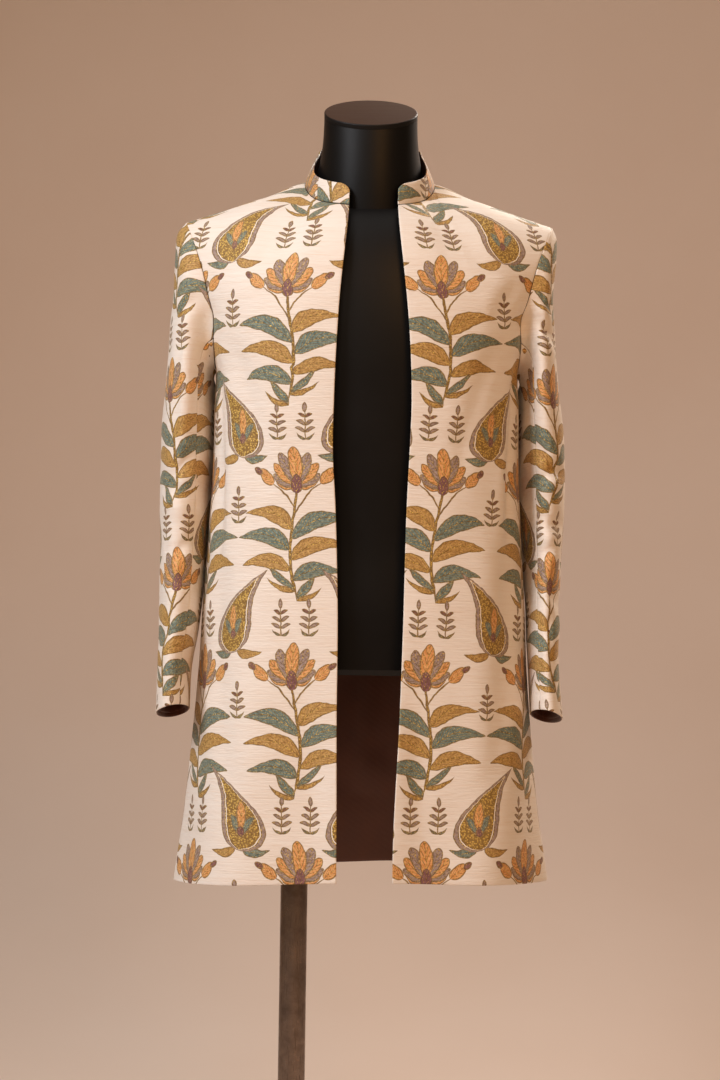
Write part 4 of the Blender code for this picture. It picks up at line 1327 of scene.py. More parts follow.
@dataclass
class DressForm:
    """A limbless torso and neck in one closed shell, with a cap on the slanted neck."""

    foot: float = 0.850
    shoulder_x: float = 0.196
    round_from: float = 0.170
    end_drop: float = 0.010
    crest: float = 12.0  # degrees the form falls away on each side of its shoulder ridge
    fullness: float = 0.94  # of the coat's own rise from chest to shoulder
    neck_half_width: float = 0.0755
    neck_front: float = 0.0810
    neck_back: float = 0.0610
    neck_drop: float = 0.0065
    neck_shoulder: float = 0.045
    coat_wall: float = 0.002
    clearance: float = 0.0006
    top_y: float = -0.030
    top_z: float = 1.5640
    top_half_width: float = 0.0600
    top_half_depth: float = 0.0610
    top_tilt: float = math.radians(26.0)
    cap_thickness: float = 0.006
    cap_round: float = 0.0016
    foot_round: float = 0.010
    foot_share: float = 0.9  # of that round, how far in the foot's edge is drawn
    crest_share: float = 0.12  # of the shoulder, over which that falling away sets in
    end_share: float = 0.25  # of the half's width, where the yoke turns over the shoulder's end
    end_way: Vector3 = (-1.0, 0.0, 0.3)  # and which way it goes there
    neck_power: float = 2.6  # how quickly the neck comes in above its foot
    columns: tuple[int, int] = (30, 36)  # of half a panel, along the neck and the shoulder
    rows: tuple[int, int, int] = (60, 40, 46)  # below the yoke, in it and up the neck

    def angles(self) -> Array:
        """The neckline's column angles, from the middle to the side."""
        return np.linspace(0, math.pi / 2, self.columns[0] + 1)

    def neck_foot(self, facing: int) -> Array:
        """The form's own neckline, just inside and under the coat's.

        Args:
            facing: -1 for the front and 1 for the back.

        Returns:
            Its points, from the middle.
        """
        depth = self.neck_front if facing < 0 else self.neck_back
        neck = FORM_SHAPE.neckline(self.angles(), facing, self.neck_half_width, depth)
        return neck - self.neck_drop * UP

    def half(self, facing: int) -> Array:
        """Half the torso on +X, from its foot to the neck and the shoulder ridge.

        Args:
            facing: -1 for the front and 1 for the back.

        Returns:
            A grid of points.
        """
        neck_part = np.linspace(0, NECK_SHARE, self.columns[0] + 1)
        across = np.append(neck_part, np.linspace(NECK_SHARE, 1, self.columns[1] + 1)[1:])
        foot = FORM_SHAPE.yoke_foot
        levels = np.linspace(self.foot, foot, self.rows[0] + 1)
        finish = np.full_like(across, math.pi / 2)
        lower = FORM_SHAPE.level(levels[:, None], 0 * finish, finish, across[None], facing)
        to_foot = np.clip((levels - self.foot) / self.foot_round, 0, 1)[:, None]
        drawn = self.foot_round * (1 - np.sqrt(1 - (1 - to_foot) ** 2))
        radius = np.hypot(lower[..., 0], lower[..., 1])
        lower[..., :2] *= (1 - self.foot_share * drawn / radius)[..., None]
        base, below = (
            FORM_SHAPE.level(foot - down + 0 * across, 0 * finish, finish, across, facing)
            for down in (0.0, SMALL_DROP)
        )
        neck = self.neck_foot(facing)
        ridge_x = np.linspace(self.neck_half_width, self.shoulder_x, self.columns[1] + 1)[1:]
        ridge = FORM_SHAPE.ridge.at(ridge_x, "height")
        drop = self.coat_wall / np.cos(np.arctan(np.gradient(ridge, ridge_x)))
        near_neck = np.clip(1 - (ridge_x - self.neck_half_width) / self.neck_shoulder, 0, 1)
        near_end = np.clip((ridge_x - self.round_from) / (self.shoulder_x - self.round_from), 0, 1)
        ridge = ridge - drop - self.clearance
        ridge = ridge - self.neck_drop * near_neck**2 - self.end_drop * near_end**2
        top = np.concatenate([neck, np.stack([ridge_x, 0 * ridge_x, ridge], axis=-1)])
        slope = FORM_SHAPE.yoke_slopes(neck, self.angles(), ridge_x, facing)
        slope[len(neck):, 2] += math.tan(math.radians(self.crest)) * eased(
            np.arange(len(ridge_x)) / self.columns[1], 0, self.crest_share
        )
        over = np.clip(1 - (1 - across) / self.end_share, 0, 1)[:, None] ** 2
        slope = unit((1 - over) * slope + over * np.array(self.end_way))
        fullness = self.fullness * FORM_SHAPE.full.at(across, "fullness")
        rise = np.linspace(0, 1, self.rows[1] + 1)[1:]
        upper = rising_rows(base, unit(base - below), top, slope, fullness, rise)
        return np.concatenate([lower, upper])

    def neck(self) -> Array:
        """Rings up the neck to its slanted top: in quickly, as 1 - (1 - t)^2.6, then straight.

        Returns:
            A grid of points, closed round.
        """
        quarter = self.angles()
        foot = np.concatenate([self.neck_foot(-1), self.neck_foot(1)[-2::-1]])
        foot = np.concatenate([foot, mirrored(foot)[-2:0:-1]])
        turn = np.concatenate([quarter, math.pi - quarter[-2::-1]])
        turn = np.concatenate([turn, WHOLE_TURN - turn[-2:0:-1]])
        out = self.top_half_depth * np.cos(turn)
        top = np.stack([
            self.top_half_width * np.sin(turn),
            self.top_y - out * math.cos(self.top_tilt),
            self.top_z - out * math.sin(self.top_tilt),
        ], axis=-1)
        climb = np.linspace(0, 1, self.rows[2] + 1)[:, None, None]
        inward = 1 - (1 - climb) ** self.neck_power
        level = foot + climb * (top - foot)
        level[..., :2] = (foot + inward * (top - foot))[..., :2]
        return level

    def build(self, skin: Material, lid: Material) -> None:
        """Makes the torso with its neck, and the cap.

        Args:
            skin: The torso's finish.
            lid: The cap's finish.
        """
        neck = self.neck()
        halves = [self.half(facing) for facing in (-1, 1)]
        quarters = [grid for half in halves for grid in (half, mirrored(half))]
        blocks, faces, first = [], [], 0
        for grid, around in [*((quarter, False) for quarter in quarters), (neck, True)]:
            faces += grid_faces(*grid.shape[:2], first, around).tolist()
            blocks.append(grid.reshape(-1, 3))
            first += len(blocks[-1])
        sides = (quarters[1][0], quarters[3][0][::-1], quarters[2][0], quarters[0][0][::-1])
        blocks.append(np.concatenate([part[:-1] for part in sides]))
        faces += [list(range(first - neck.shape[1], first)),
                  list(range(first, first + len(blocks[-1])))]
        points = np.concatenate(blocks)
        closed_piece("form_torso_and_neck", "torso_form", "form_skin", points, faces, skin)
        normal = np.array([0.0, -math.sin(self.top_tilt), math.cos(self.top_tilt)])
        toward = unit(neck[-1].mean(axis=0) - neck[-1])
        edge = np.linspace(0, math.pi / 2, 6)
        sunk = self.cap_round * (1 - np.cos(edge))
        height = self.cap_thickness - self.cap_round * (1 - np.sin(edge))
        cap = np.stack([neck[-1] + SEAM_GAP * normal] + [
            neck[-1] + inset * toward + (SEAM_GAP + up) * normal for inset, up in zip(sunk, height)
        ])
        rows, cols = cap.shape[:2]
        faces = grid_faces(rows, cols, 0, around=True).tolist()
        faces += [list(range(cols)), list(range((rows - 1) * cols, rows * cols))]
        closed_piece("form_neck_lid", "neck_cap", "neck_cap", cap.reshape(-1, 3), faces, lid)


@dataclass
class Turning:
    """A turned steel piece: corners of a profile with broken edges, carried round an axis."""

    name: str
    node: str
    x: float  # where its upright axis stands
    steps: int
    corners: tuple[Vector3, ...]  # radius, height and the corner's own round

    def profile(self) -> Array:
        """The profile's points, each corner cut as an arc between its two neighbours.

        Returns:
            Radius and height of each point.
        """
        points = np.array([corner[:2] for corner in self.corners])
        made = []
        for k, (here, small) in enumerate(zip(points, (corner[2] for corner in self.corners))):
            if small == 0 or k in (0, len(points) - 1):
                made.append(here[None])
                continue
            back, on = unit(points[k - 1] - here), unit(points[k + 1] - here)
            t = np.linspace(0, 1, 5)[:, None]
            start, end = here + small * back, here + small * on
            made.append((1 - t) ** 2 * start + 2 * t * (1 - t) * here + t**2 * end)
        return np.concatenate(made)

    def build(self, steel: Material) -> None:
        """Carries the profile round its axis and closes it.

        Args:
            steel: Its finish.
        """
        radius, height = self.profile().T[..., None]
        turn = np.linspace(0, WHOLE_TURN, self.steps + 1)[:-1]
        grid = np.stack([
            radius * np.cos(turn) + self.x, radius * np.sin(turn), height + 0 * turn
        ], axis=-1)
        rows = len(grid)
        faces = grid_faces(rows, len(turn), 0, around=True)
        if radius[0, 0] > 1e-6:  # a ring: the last row joins the first one
            again = np.concatenate([grid[-1:], grid[:1]])
            faces = np.concatenate([faces, grid_faces(2, len(turn), rows * len(turn), True)])
            grid = np.concatenate([grid, again])
        quads = [list(dict.fromkeys(face)) for face in faces.tolist()]
        closed_piece(self.name, self.node, "steel", grid.reshape(-1, 3), quads, steel)


@dataclass
class Stand:
    """The base plate, its socket, the pole and the flange that holds the form."""

    pole_x: float = -0.085
    pole_radius: float = 0.0175
    plate_radius: float = 0.210
    plate_thickness: float = 0.009
    socket_radius: float = 0.030
    socket_height: float = 0.045
    flange_radius: float = 0.052
    flange_thickness: float = 0.006
    sleeve_radius: float = 0.0235
    sleeve_length: float = 0.040
    form_foot: float = 0.850
    edge: float = 0.0015

    def build(self, steel: Material) -> None:
        """Makes the four pieces.

        Args:
            steel: Their finish.
        """
        top, foot = self.plate_thickness, self.plate_thickness + SEAM_GAP
        under_form = self.form_foot - SEAM_GAP
        under_flange = under_form - self.flange_thickness
        pole_top, sleeve_foot = under_flange - SEAM_GAP, under_form - self.sleeve_length
        socket_top = foot + self.socket_height
        pole, inside = self.pole_radius, self.pole_radius + SEAM_GAP
        plate, socket, sleeve = self.plate_radius, self.socket_radius, self.sleeve_radius
        flange, fine, edge = self.flange_radius, self.edge / 2, self.edge
        for turning in (
            Turning("stand_plate", "base_plate", 0.0, 160, (
                (0.0, top, 0), (plate, top, edge), (plate, 0.0, fine), (0.0, 0.0, 0),
            )),
            Turning("stand_socket", "base_socket", self.pole_x, 72, (
                (inside, foot, 0), (socket, foot, 0), (socket, socket_top, edge),
                (inside, socket_top, 0),
            )),
            Turning("stand_pole", "pole", self.pole_x, 72, (
                (0.0, pole_top, 0), (pole, pole_top, fine), (pole, foot, fine), (0.0, foot, 0),
            )),
            Turning("stand_flange", "form_flange", self.pole_x, 72, (
                (0.0, under_form, 0), (flange, under_form, fine), (flange, under_flange, fine),
                (sleeve, under_flange, 0), (sleeve, sleeve_foot, fine),
                (inside, sleeve_foot, fine), (inside, under_flange, 0), (0.0, under_flange, 0),
            )),
        ):
            turning.build(steel)


# Finishes --------------------


def linear(shade: str) -> tuple[float, float, float, float]:
    """An sRGB hex colour as the linear values that a node takes."""
    parts = [int(shade[k : k + 2], 16) / 255 for k in (1, 3, 5)]
    return *(c / 12.92 if c <= 0.04045 else ((c + 0.055) / 1.055) ** 2.4 for c in parts), 1.0


@dataclass
class NodeWriter:
    """Writes nodes into one tree."""

    tree: bpy.types.NodeTree

    def add(
        self, kind: str, values: Any = (), out: int | str | None = 0, **settings: Any
    ) -> Any:
        """Adds a node with its settings and links.

        Args:
            kind: The node's type, and after a space its operation or the data that it mixes.
            values: What goes into its sockets, by name or in the order of those in use: for a
                noise its place, scale, detail and roughness. A socket is linked, a number or
                a hex colour is set, and None leaves a socket alone.
            out: Which output to return, by name or among those in use, or None for all of them.
            **settings: The node's other settings.

        Returns:
            The chosen output or outputs.
        """
        kind, _, choice = kind.partition(" ")
        made = self.tree.nodes.new(kind if kind.startswith("Node") else "ShaderNode" + kind)
        if choice:
            settings["data_type" if kind == "Mix" else "operation"] = choice
        for key, value in settings.items():
            setattr(made, key, value)
        used = [socket for socket in made.inputs if socket.enabled]
        for key, value in values.items() if isinstance(values, dict) else enumerate(values):
            socket = made.inputs[key] if isinstance(key, str) else used[key]
            if isinstance(value, bpy.types.NodeSocket):
                self.tree.links.new(value, socket)
            elif value is not None:
                socket.default_value = linear(value) if isinstance(value, str) else value
        if out is None or isinstance(out, str):
            return made.outputs[out] if out else made.outputs
        given = [socket for socket in made.outputs if socket.enabled]
        return given[out] if given else None


@dataclass(frozen=True)
class Finish:
    """What a surface is made of, as a procedural material."""

    @property
    def name(self) -> str:
        """The material's name, from the class's own: SatinBlackSkin is satin_black_skin."""
        words = "".join(" " + c.lower() if c.isupper() else c for c in type(self).__name__)
        return "_".join(words.split())

    def surface(self, write: NodeWriter) -> dict[str, Any]:
        """Writes the pattern's nodes and gives what goes into the shader's sockets.

        Args:
            write: Writes the nodes.

        Returns:
            The sockets' values by name.
        """
        raise NotImplementedError

    def shader(self, write: NodeWriter) -> Any:
        """The surface under one shader."""
        return write.add("BsdfPrincipled", self.surface(write))

    def material(self) -> Material:
        """Makes the material.

        Returns:
            The material, named for the finish.
        """
        material = bpy.data.materials.new(self.name)
        material.use_nodes = True
        material.node_tree.nodes.clear()
        write = NodeWriter(material.node_tree)
        write.add("OutputMaterial", {"Surface": self.shader(write)})
        return material


class Tint(Enum):
    """The colours that a motif's parts are worked in. The value is what the nodes carry."""

    TEAL = 0.0
    OCHRE = 1.0
    ORANGE = 2.0
    MAUVE = 3.0
    PLUM = 4.0
    PAISLEY = 5.0
    NEAR = "side"  # teal or ochre by turns from one side of a stem to the other
    FAR = "other"


@dataclass(frozen=True)
class Blade:
    """A leaf, petal, bud, stem or paisley: one pointed shape along a bent middle line.

    At t along it the half width is width t^base (1 - t)^tip, scaled to reach width at its
    widest, and the middle line bends away as bend t^3. Lengths are shares of the blade's own.
    """

    x: float
    y: float
    turn: float  # degrees from +X
    length: float
    width: float
    tint: Tint
    base: float = 0.6
    tip: float = 0.6
    bend: float = 0.0
    ribs: float = 0.0

    def fitted_width(self) -> float:
        """The width, scaled so that the widest place is as wide as asked."""
        peak = self.base / (self.base + self.tip)
        return self.width / self.length / (peak**self.base * (1 - peak) ** self.tip)


RIB_SLANT = 2.2  # how far along a blade its ribs run for each step outwards
MIDRIB_HALF_WIDTH = 0.009  # of the blade's length
# A flowering plant, about 180 mm tall, drawn on one side of its middle and folded.
PLANT = (
    Blade(0.000, -0.094, 90, 0.138, 0.0021, Tint.OCHRE, 0.10, 0.22),
    Blade(0.000, -0.093, 8, 0.036, 0.0036, Tint.OCHRE, 0.60, 0.90, 0.32, 40),
    Blade(0.000, -0.090, 38, 0.040, 0.0052, Tint.TEAL, 0.60, 0.90, 0.10, 40),
    Blade(0.000, 0.010, 54, 0.044, 0.0010, Tint.OCHRE, 0.10, 0.22, -0.16),
    Blade(0.001, -0.068, 34, 0.058, 0.0108, Tint.FAR, 0.72, 0.70, -0.50, 54),
    Blade(0.001, -0.042, 42, 0.064, 0.0118, Tint.NEAR, 0.70, 0.70, -0.55, 54),
    Blade(0.001, -0.016, 48, 0.060, 0.0110, Tint.FAR, 0.68, 0.72, -0.58, 54),
    Blade(0.030, 0.041, 38, 0.026, 0.0076, Tint.ORANGE, 0.50, 0.62, 0.10, 30),
    Blade(0.046, 0.053, 40, 0.013, 0.0040, Tint.PLUM, 0.55, 0.60, 0.0, 20),
    Blade(0.002, 0.038, -4, 0.024, 0.0052, Tint.ORANGE, 0.60, 0.60, 0.30, 30),
    Blade(0.002, 0.039, 16, 0.031, 0.0064, Tint.MAUVE, 0.60, 0.58, 0.16, 30),
    Blade(0.002, 0.040, 40, 0.037, 0.0074, Tint.ORANGE, 0.60, 0.54, 0.06, 30),
    Blade(0.001, 0.040, 65, 0.043, 0.0080, Tint.MAUVE, 0.60, 0.52, 0.0, 30),
    Blade(0.000, 0.039, 90, 0.048, 0.0092, Tint.ORANGE, 0.60, 0.50, 0.0, 30),
    Blade(0.000, 0.029, 90, 0.024, 0.0078, Tint.PLUM, 0.42, 0.62, 0.0, 20),
)
# A paisley about 100 mm tall, a spray inside it and two leaves at its foot.
PAISLEY = (
    Blade(0.010, -0.045, -24, 0.032, 0.0062, Tint.TEAL, 0.6, 0.8, 0.40, 40),
    Blade(0.000, -0.045, 204, 0.032, 0.0062, Tint.OCHRE, 0.6, 0.8, -0.40, 40),
    Blade(0.004, -0.047, 73, 0.085, 0.0310, Tint.PAISLEY, 0.50, 0.86, 0.88),
    Blade(0.007, -0.028, 112, 0.028, 0.0052, Tint.TEAL, bend=0.10, ribs=40),
    Blade(0.007, -0.028, 60, 0.028, 0.0052, Tint.TEAL, bend=-0.10, ribs=40),
    Blade(0.007, -0.022, 86, 0.036, 0.0064, Tint.ORANGE, bend=0.10, ribs=30),
    Blade(0.007, -0.030, 90, 0.013, 0.0050, Tint.PLUM, 0.5, ribs=20),
)
# A small sprig, drawn on one side of its middle and folded.
SPRIG = (
    Blade(0.0, -0.023, 90, 0.0400, 0.0008, Tint.OCHRE, 0.1, 0.3),
    Blade(0.0, -0.022, 12, 0.0130, 0.0019, Tint.TEAL, 0.6, 0.9, 0.40),
    Blade(0.0, -0.014, 40, 0.0140, 0.0027, Tint.MAUVE, bend=-0.25),
    Blade(0.0, -0.005, 42, 0.0125, 0.0026, Tint.MAUVE, bend=-0.25),
    Blade(0.0, 0.004, 46, 0.0105, 0.0023, Tint.PLUM, bend=-0.25),
    Blade(0.0, 0.011, 90, 0.0125, 0.0029, Tint.MAUVE),
)


def one_blade_group() -> bpy.types.NodeTree:
    """The node group that adds one blade to those before it.

    Before and After carry three numbers: how deep the point is inside the blade that shows,
    that blade's rib pattern, and its tint. A later blade covers those before it.

    Returns:
        The group.
    """
    group = bpy.data.node_groups.new("one_blade", "ShaderNodeTree")
    for name in ("Vector", "Before", "Length", "Width", "Base", "Tip", "Bend", "Ribs", "Tint"):
        kind = "NodeSocketVector" if name in ("Vector", "Before") else "NodeSocketFloat"
        group.interface.new_socket(name, in_out="INPUT", socket_type=kind)
    group.interface.new_socket("After", in_out="OUTPUT", socket_type="NodeSocketVector")
    add = NodeWriter(group).add
    given = add("NodeGroupInput", out=None)
    x, y, _ = add("SeparateXYZ", (given["Vector"],), None)
    t = add("Clamp", (x, 0.0, 1.0))
    rest = add("Math SUBTRACT", (1.0, t))
    base = add("Math POWER", (t, given["Base"]))
    tip = add("Math POWER", (rest, given["Tip"]))
    both = add("Math MULTIPLY", (base, tip))
    cubed = add("Math POWER", (t, 3.0))
    bent = add("Math MULTIPLY", (cubed, given["Bend"]))
    off = add("Math SUBTRACT", (y, bent))
    off = add("Math ABSOLUTE", (off,))
    past = add("Math SUBTRACT", (x, t))
    past = add("Math ABSOLUTE", (past,))
    outside = add("Math ADD", (off, past))
    inside = add("Math MULTIPLY", (both, given["Width"]))
    share = add("Math SUBTRACT", (inside, outside))
    depth = add("Math MULTIPLY", (share, given["Length"]))
    slant = add("Math MULTIPLY_ADD", (off, -RIB_SLANT, t))
    ribs = add("Math MULTIPLY", (slant, given["Ribs"]))
    middle = add("Math LESS_THAN", (off, MIDRIB_HALF_WIDTH))
    ribs = add("Mix FLOAT", (middle, ribs, math.pi / 2))
    after = add("CombineXYZ", (depth, ribs, given["Tint"]))
    before = add("SeparateXYZ", (given["Before"],))
    shown = add("Math MINIMUM", (before, 0.0))
    wins = add("Math GREATER_THAN", (depth, shown))
    add("NodeGroupOutput", (add("Mix VECTOR", (wins, given["Before"], after)),))
    return group


@dataclass
class Print:
    """The block print: flowering plants, paisleys and sprigs, in rows that face each other.

    Plants stand in the cells' middles, facing each other by turns. Paisleys stand where four
    cells meet, sprigs between the plants and between the paisleys.
    """

    write: NodeWriter
    repeat: tuple[float, float]
    group: bpy.types.NodeTree = field(default_factory=one_blade_group)
    sway: float = 0.0052  # how far a stem leans as a sine of its height
    sway_rate: float = 34.0  # radians a metre
    uneven: tuple[float, float, float] = (-0.01, 0.030, 0.012)  # from, to and how much lower
    sprig_rise: float = 0.016  # of the sprig between two plants
    pair_apart: float = 0.018  # half the distance between the two above each flower
    pair_drop: float = 0.004

    def lattice(self, cut: Any, shift: tuple[float, float]) -> tuple[Any, Any, Any]:
        """Repeats the print in cells.

        Args:
            cut: The place on the flat cut.
            shift: How far the cells are moved.

        Returns:
            The place across and up from the cell's middle, and 0 or 1 from cell to cell.
        """
        add = self.write.add
        size = (*self.repeat, 1.0)
        moved = add("VectorMath ADD", (cut, (*shift, 0.0)))
        cells = add("VectorMath DIVIDE", (moved, size))
        cells = add("VectorMath ADD", (cells, (0.5, 0.5, 0.5)))
        cells = add("VectorMath FLOOR", (cells,))
        corner = add("VectorMath MULTIPLY", (cells, size))
        place = add("VectorMath SUBTRACT", (moved, corner))
        across, up, _ = add("SeparateXYZ", (cells,), None)
        parity = add("Math ADD", (across, up))
        parity = add("Math FLOORED_MODULO", (parity, 2.0))
        x, y, _ = add("SeparateXYZ", (place,), None)
        return x, y, parity

    def chain(
        self, x: Any, y: Any, before: Any, blades: tuple[Blade, ...], tints: dict[str, Any]
    ) -> Any:
        """Adds a motif's blades one after another.

        Args:
            x: The place across in the motif's own cell.
            y: The place up in it.
            before: What the blades before it came to.
            blades: The motif.
            tints: Sockets for tints that change from one place to another.

        Returns:
            What all the blades come to.
        """
        place = self.write.add("CombineXYZ", (x, y))
        for blade in blades:
            turn, scale = (0.0, 0.0, math.radians(blade.turn)), (blade.length, blade.length, 1.0)
            local = self.write.add(
                "Mapping", (place, (blade.x, blade.y, 0.0), turn, scale), vector_type="TEXTURE"
            )
            tint = tints.get(blade.tint.value, blade.tint.value)
            before = self.write.add("Group", (
                local, before, blade.length, blade.fitted_width(), blade.base, blade.tip,
                blade.bend, blade.ribs, tint,
            ), node_tree=self.group)
        return before

    def motifs(self, cut: Any) -> Any:
        """The whole print at a place on the flat cut.

        Args:
            cut: The place on the flat cut.

        Returns:
            Depth inside a motif, its rib pattern and its tint, as one vector.
        """
        add = self.write.add
        half = (self.repeat[0] / 2, self.repeat[1] / 2)
        x, y, parity = self.lattice(cut, (0.0, 0.0))
        # The stem leans as a sine, to one side and the other by turns.
        sway = add("Math MULTIPLY_ADD", (parity, 2.0, -1.0))
        sway = add("Math MULTIPLY", (sway, self.sway))
        wave = add("Math MULTIPLY", (y, self.sway_rate))
        wave = add("Math SINE", (wave,))
        leaning = add("Math MULTIPLY_ADD", (wave, sway, x))
        folded = add("Math ABSOLUTE", (leaning,))
        right = add("Math GREATER_THAN", (leaning, 0.0))
        side = add("Math SUBTRACT", (right, parity))
        side = add("Math ABSOLUTE", (side,))
        other = add("Math SUBTRACT", (1.0, side))
        # The two sides' leaves start at different heights, as leaves on a stem do.
        uneven = add("MapRange", (y, *self.uneven, 0.0))
        lowered = add("Math MULTIPLY_ADD", (uneven, side, y))
        tints = {"side": side, "other": other}
        found = self.chain(folded, lowered, (-1.0, 0.0, 0.0), PLANT, tints)
        across, up, turned = self.lattice(cut, half)
        turned = add("Math MULTIPLY_ADD", (turned, 2.0, -1.0))
        faced = add("Math MULTIPLY", (across, turned))
        found = self.chain(faced, up, found, PAISLEY, {})
        # One sprig stands between two plants, and two stand above each flower.
        middle = add("Math ABSOLUTE", (x,))
        between = add("Math SUBTRACT", (half[0], middle))
        low = add("Math SUBTRACT", (y, self.sprig_rise))
        found = self.chain(between, low, found, SPRIG, {})
        pair = add("Math ABSOLUTE", (across,))
        pair = add("Math SUBTRACT", (pair, half[0] - self.pair_apart))
        pair = add("Math ABSOLUTE", (pair,))
        high = add("Math ADD", (up, self.pair_drop))
        return self.chain(pair, high, found, SPRIG, {})


@dataclass(frozen=True)
class SlubbedSilkPrintedAndEmbroidered(Finish):
    """Slubbed silk and cotton, printed and then worked over in thread.

    A plain-weave cloth whose weft is uneven, so fine slubs run across it. Teal, ochre and mauve
    parts are outlined and ribbed in gold thread, which catches the light; each gold knot also has a
    painted highlight, bright at its middle and dark at its rim.
    """

    ground: str = "#F1E9E0"
    slub: str = "#E6D2BF"
    teal: tuple[str, str] = ("#566C69", "#86998F")
    ochre: tuple[str, str] = ("#A67C42", "#CFA869")
    orange: tuple[str, str] = ("#D08A48", "#EDB87E")
    mauve: tuple[str, str] = ("#8B766F", "#B3A099")
    plum: tuple[str, str] = ("#6E444A", "#92666A")
    # dark and bright gold: on the knots the bright one is a painted highlight at each knot's
    # middle; in the paisley's rings the two are mottled
    gold: tuple[str, str] = ("#735820", "#EBC866")
    repeat: tuple[float, float] = (0.154, 0.244)
    outline: float = 0.0014
    bleed: float = 0.00035  # how softly the print's edges sink into the cloth

    def worked_colour(self, write: NodeWriter, grain: Any, tint: Any) -> Any:
        """The colour of a motif's part by its tint, mottled between its two shades.

        Args:
            write: Writes the nodes.
            grain: The mottling.
            tint: The part's tint.

        Returns:
            The colour.
        """
        colour = write.add("Mix RGBA", (grain, *self.teal))
        for shades, name in (
            (self.ochre, Tint.OCHRE), (self.orange, Tint.ORANGE), (self.mauve, Tint.MAUVE),
            (self.plum, Tint.PLUM),
        ):
            shade = write.add("Mix RGBA", (grain, *shades))
            after = write.add("Math GREATER_THAN", (tint, name.value - 0.5))
            colour = write.add("Mix RGBA", (after, colour, shade))
        return colour

    def paisley_colour(self, write: NodeWriter, depth: Any, grain: Any, plain: Any) -> tuple:
        """A paisley's rings by depth: a mauve border, a bare ring, and a field of gold thread.

        Args:
            write: The writer.
            depth: How deep the point is inside the paisley.
            grain: The mottling.
            plain: The cloth's own colour, for the ring between border and field.

        Returns:
            The colour, and where gold thread covers it.
        """
        colour, gold = write.add("Mix RGBA", (grain, *self.mauve)), 0.15
        for start, shades, thread in (
            (0.0058, self.gold, 1.0), (0.0070, None, 0.0),
            (0.0086, self.gold, 1.0), (0.0098, self.ochre, 0.7),
        ):
            shade = write.add("Mix RGBA", (grain, *shades)) if shades else plain
            inside = write.add("MapRange", (depth, start - 0.0002, start + 0.0002))
            colour = write.add("Mix RGBA", (inside, colour, shade))
            gold = write.add("Mix FLOAT", (inside, gold, thread))
        return colour, gold

    def surface(self, write: NodeWriter) -> dict[str, Any]:
        """The cloth: its ground with slubs, the print, the gold thread and the relief of each.

        Args:
            write: Writes the nodes.

        Returns:
            The sockets' values by name.
        """
        add = write.add
        cut = add("UVMap", uv_map="cut")
        # Hand-worked edges: the print wanders by about 1 mm.
        drift = add("TexNoise", (cut, 85.0, 1.0), "Color")
        drift = add("VectorMath SUBTRACT", (drift, (0.5, 0.5, 0.5)))
        drift = add("VectorMath MULTIPLY", (drift, (0.0034, 0.0034, 0.0)))
        drawn = add("VectorMath ADD", (cut, drift))
        found = Print(write, self.repeat).motifs(drawn)
        depth, ribs, tint = add("SeparateXYZ", (found,), None)
        # Slubs: thick places in the weft, about 40 mm long. They and the weft itself, about
        # 0.4 mm, are drawn 1.8 mm tall so that they show.
        long_ = add("Mapping", (cut, None, None, (24.0, 560.0, 1.0)))
        slubs = add("TexNoise", (long_, 1.0, 2.0, 0.6))
        # Crinkle: the cloth draws up a little between its threads, 12 mm long and 3 mm tall.
        drawn_up = add("Mapping", (cut, None, None, (85.0, 310.0, 1.0)))
        crinkle = add("TexNoise", (drawn_up, 1.0, 2.0))
        relief = add("Math MULTIPLY_ADD", (crinkle, 1.1, slubs))
        broad = add("Mapping", (cut, None, None, (11.0, 170.0, 1.0)))
        bands = add("TexNoise", (broad, 1.0, 1.0))
        thick = add("MapRange", (slubs, 0.55, 0.74))
        shade = add("MapRange", (bands, 0.35, 0.70, 0.0, 0.22))
        dark = add("Math MULTIPLY_ADD", (thick, 0.55, shade))
        ground = add("Mix RGBA", (dark, self.ground, self.slub))
        mottle = add("TexNoise", (cut, 240.0, 2.0, 0.7))
        grain = add("MapRange", (mottle, 0.34, 0.66))
        # Embroidery: gold thread in knots, drawn 2.4 mm apart, and a darker couched outline. The
        # knots' colour carries a painted highlight: bright gold at each knot's middle, dark at its
        # rim.
        knots = add("TexVoronoi", {"Vector": cut, "Scale": 420.0})
        bead = add("MapRange", (knots, 0.18, 0.58, 1.0, 0.0))
        worked = self.worked_colour(write, grain, tint)
        is_paisley = add("Math GREATER_THAN", (tint, Tint.PAISLEY.value - 0.5))
        rings, ring_gold = self.paisley_colour(write, depth, grain, ground)
        worked = add("Mix RGBA", (is_paisley, worked, rings))
        edge = add("MapRange", (depth, self.outline * 0.75, self.outline * 1.3, 0.9, 0.0))
        wave = add("Math SINE", (ribs,))
        rib = add("MapRange", (wave, 0.55, 0.95, 0.0, 0.8))
        thread = add("Math MAXIMUM", (edge, rib))
        thread = add("Mix FLOAT", (is_paisley, thread, ring_gold))
        thread = add("Math MAXIMUM", (thread, edge))
        pattern = add("MapRange", (depth, -self.bleed, self.bleed))
        # Painted highlight: the gold is bright at each knot's middle and dark at its rim, and
        # darker along the couched outline.
        painted_knot_highlight = add("Math MULTIPLY_ADD", (edge, -0.7, 1.0))
        painted_knot_highlight = add("Math MULTIPLY", (painted_knot_highlight, bead))
        gold_with_painted_highlight = add("Mix RGBA", (painted_knot_highlight, *self.gold))
        worked = add("Mix RGBA", (thread, worked, gold_with_painted_highlight))
        colour = add("Mix RGBA", (pattern, ground, worked))
        gold = add("Math MULTIPLY", (thread, pattern))
        gleam = add("Math MULTIPLY", (gold, painted_knot_highlight))
        metal = add("Math MULTIPLY", (gleam, 0.4))
        rough = add("Mix FLOAT", (gleam, 0.62, 0.38))
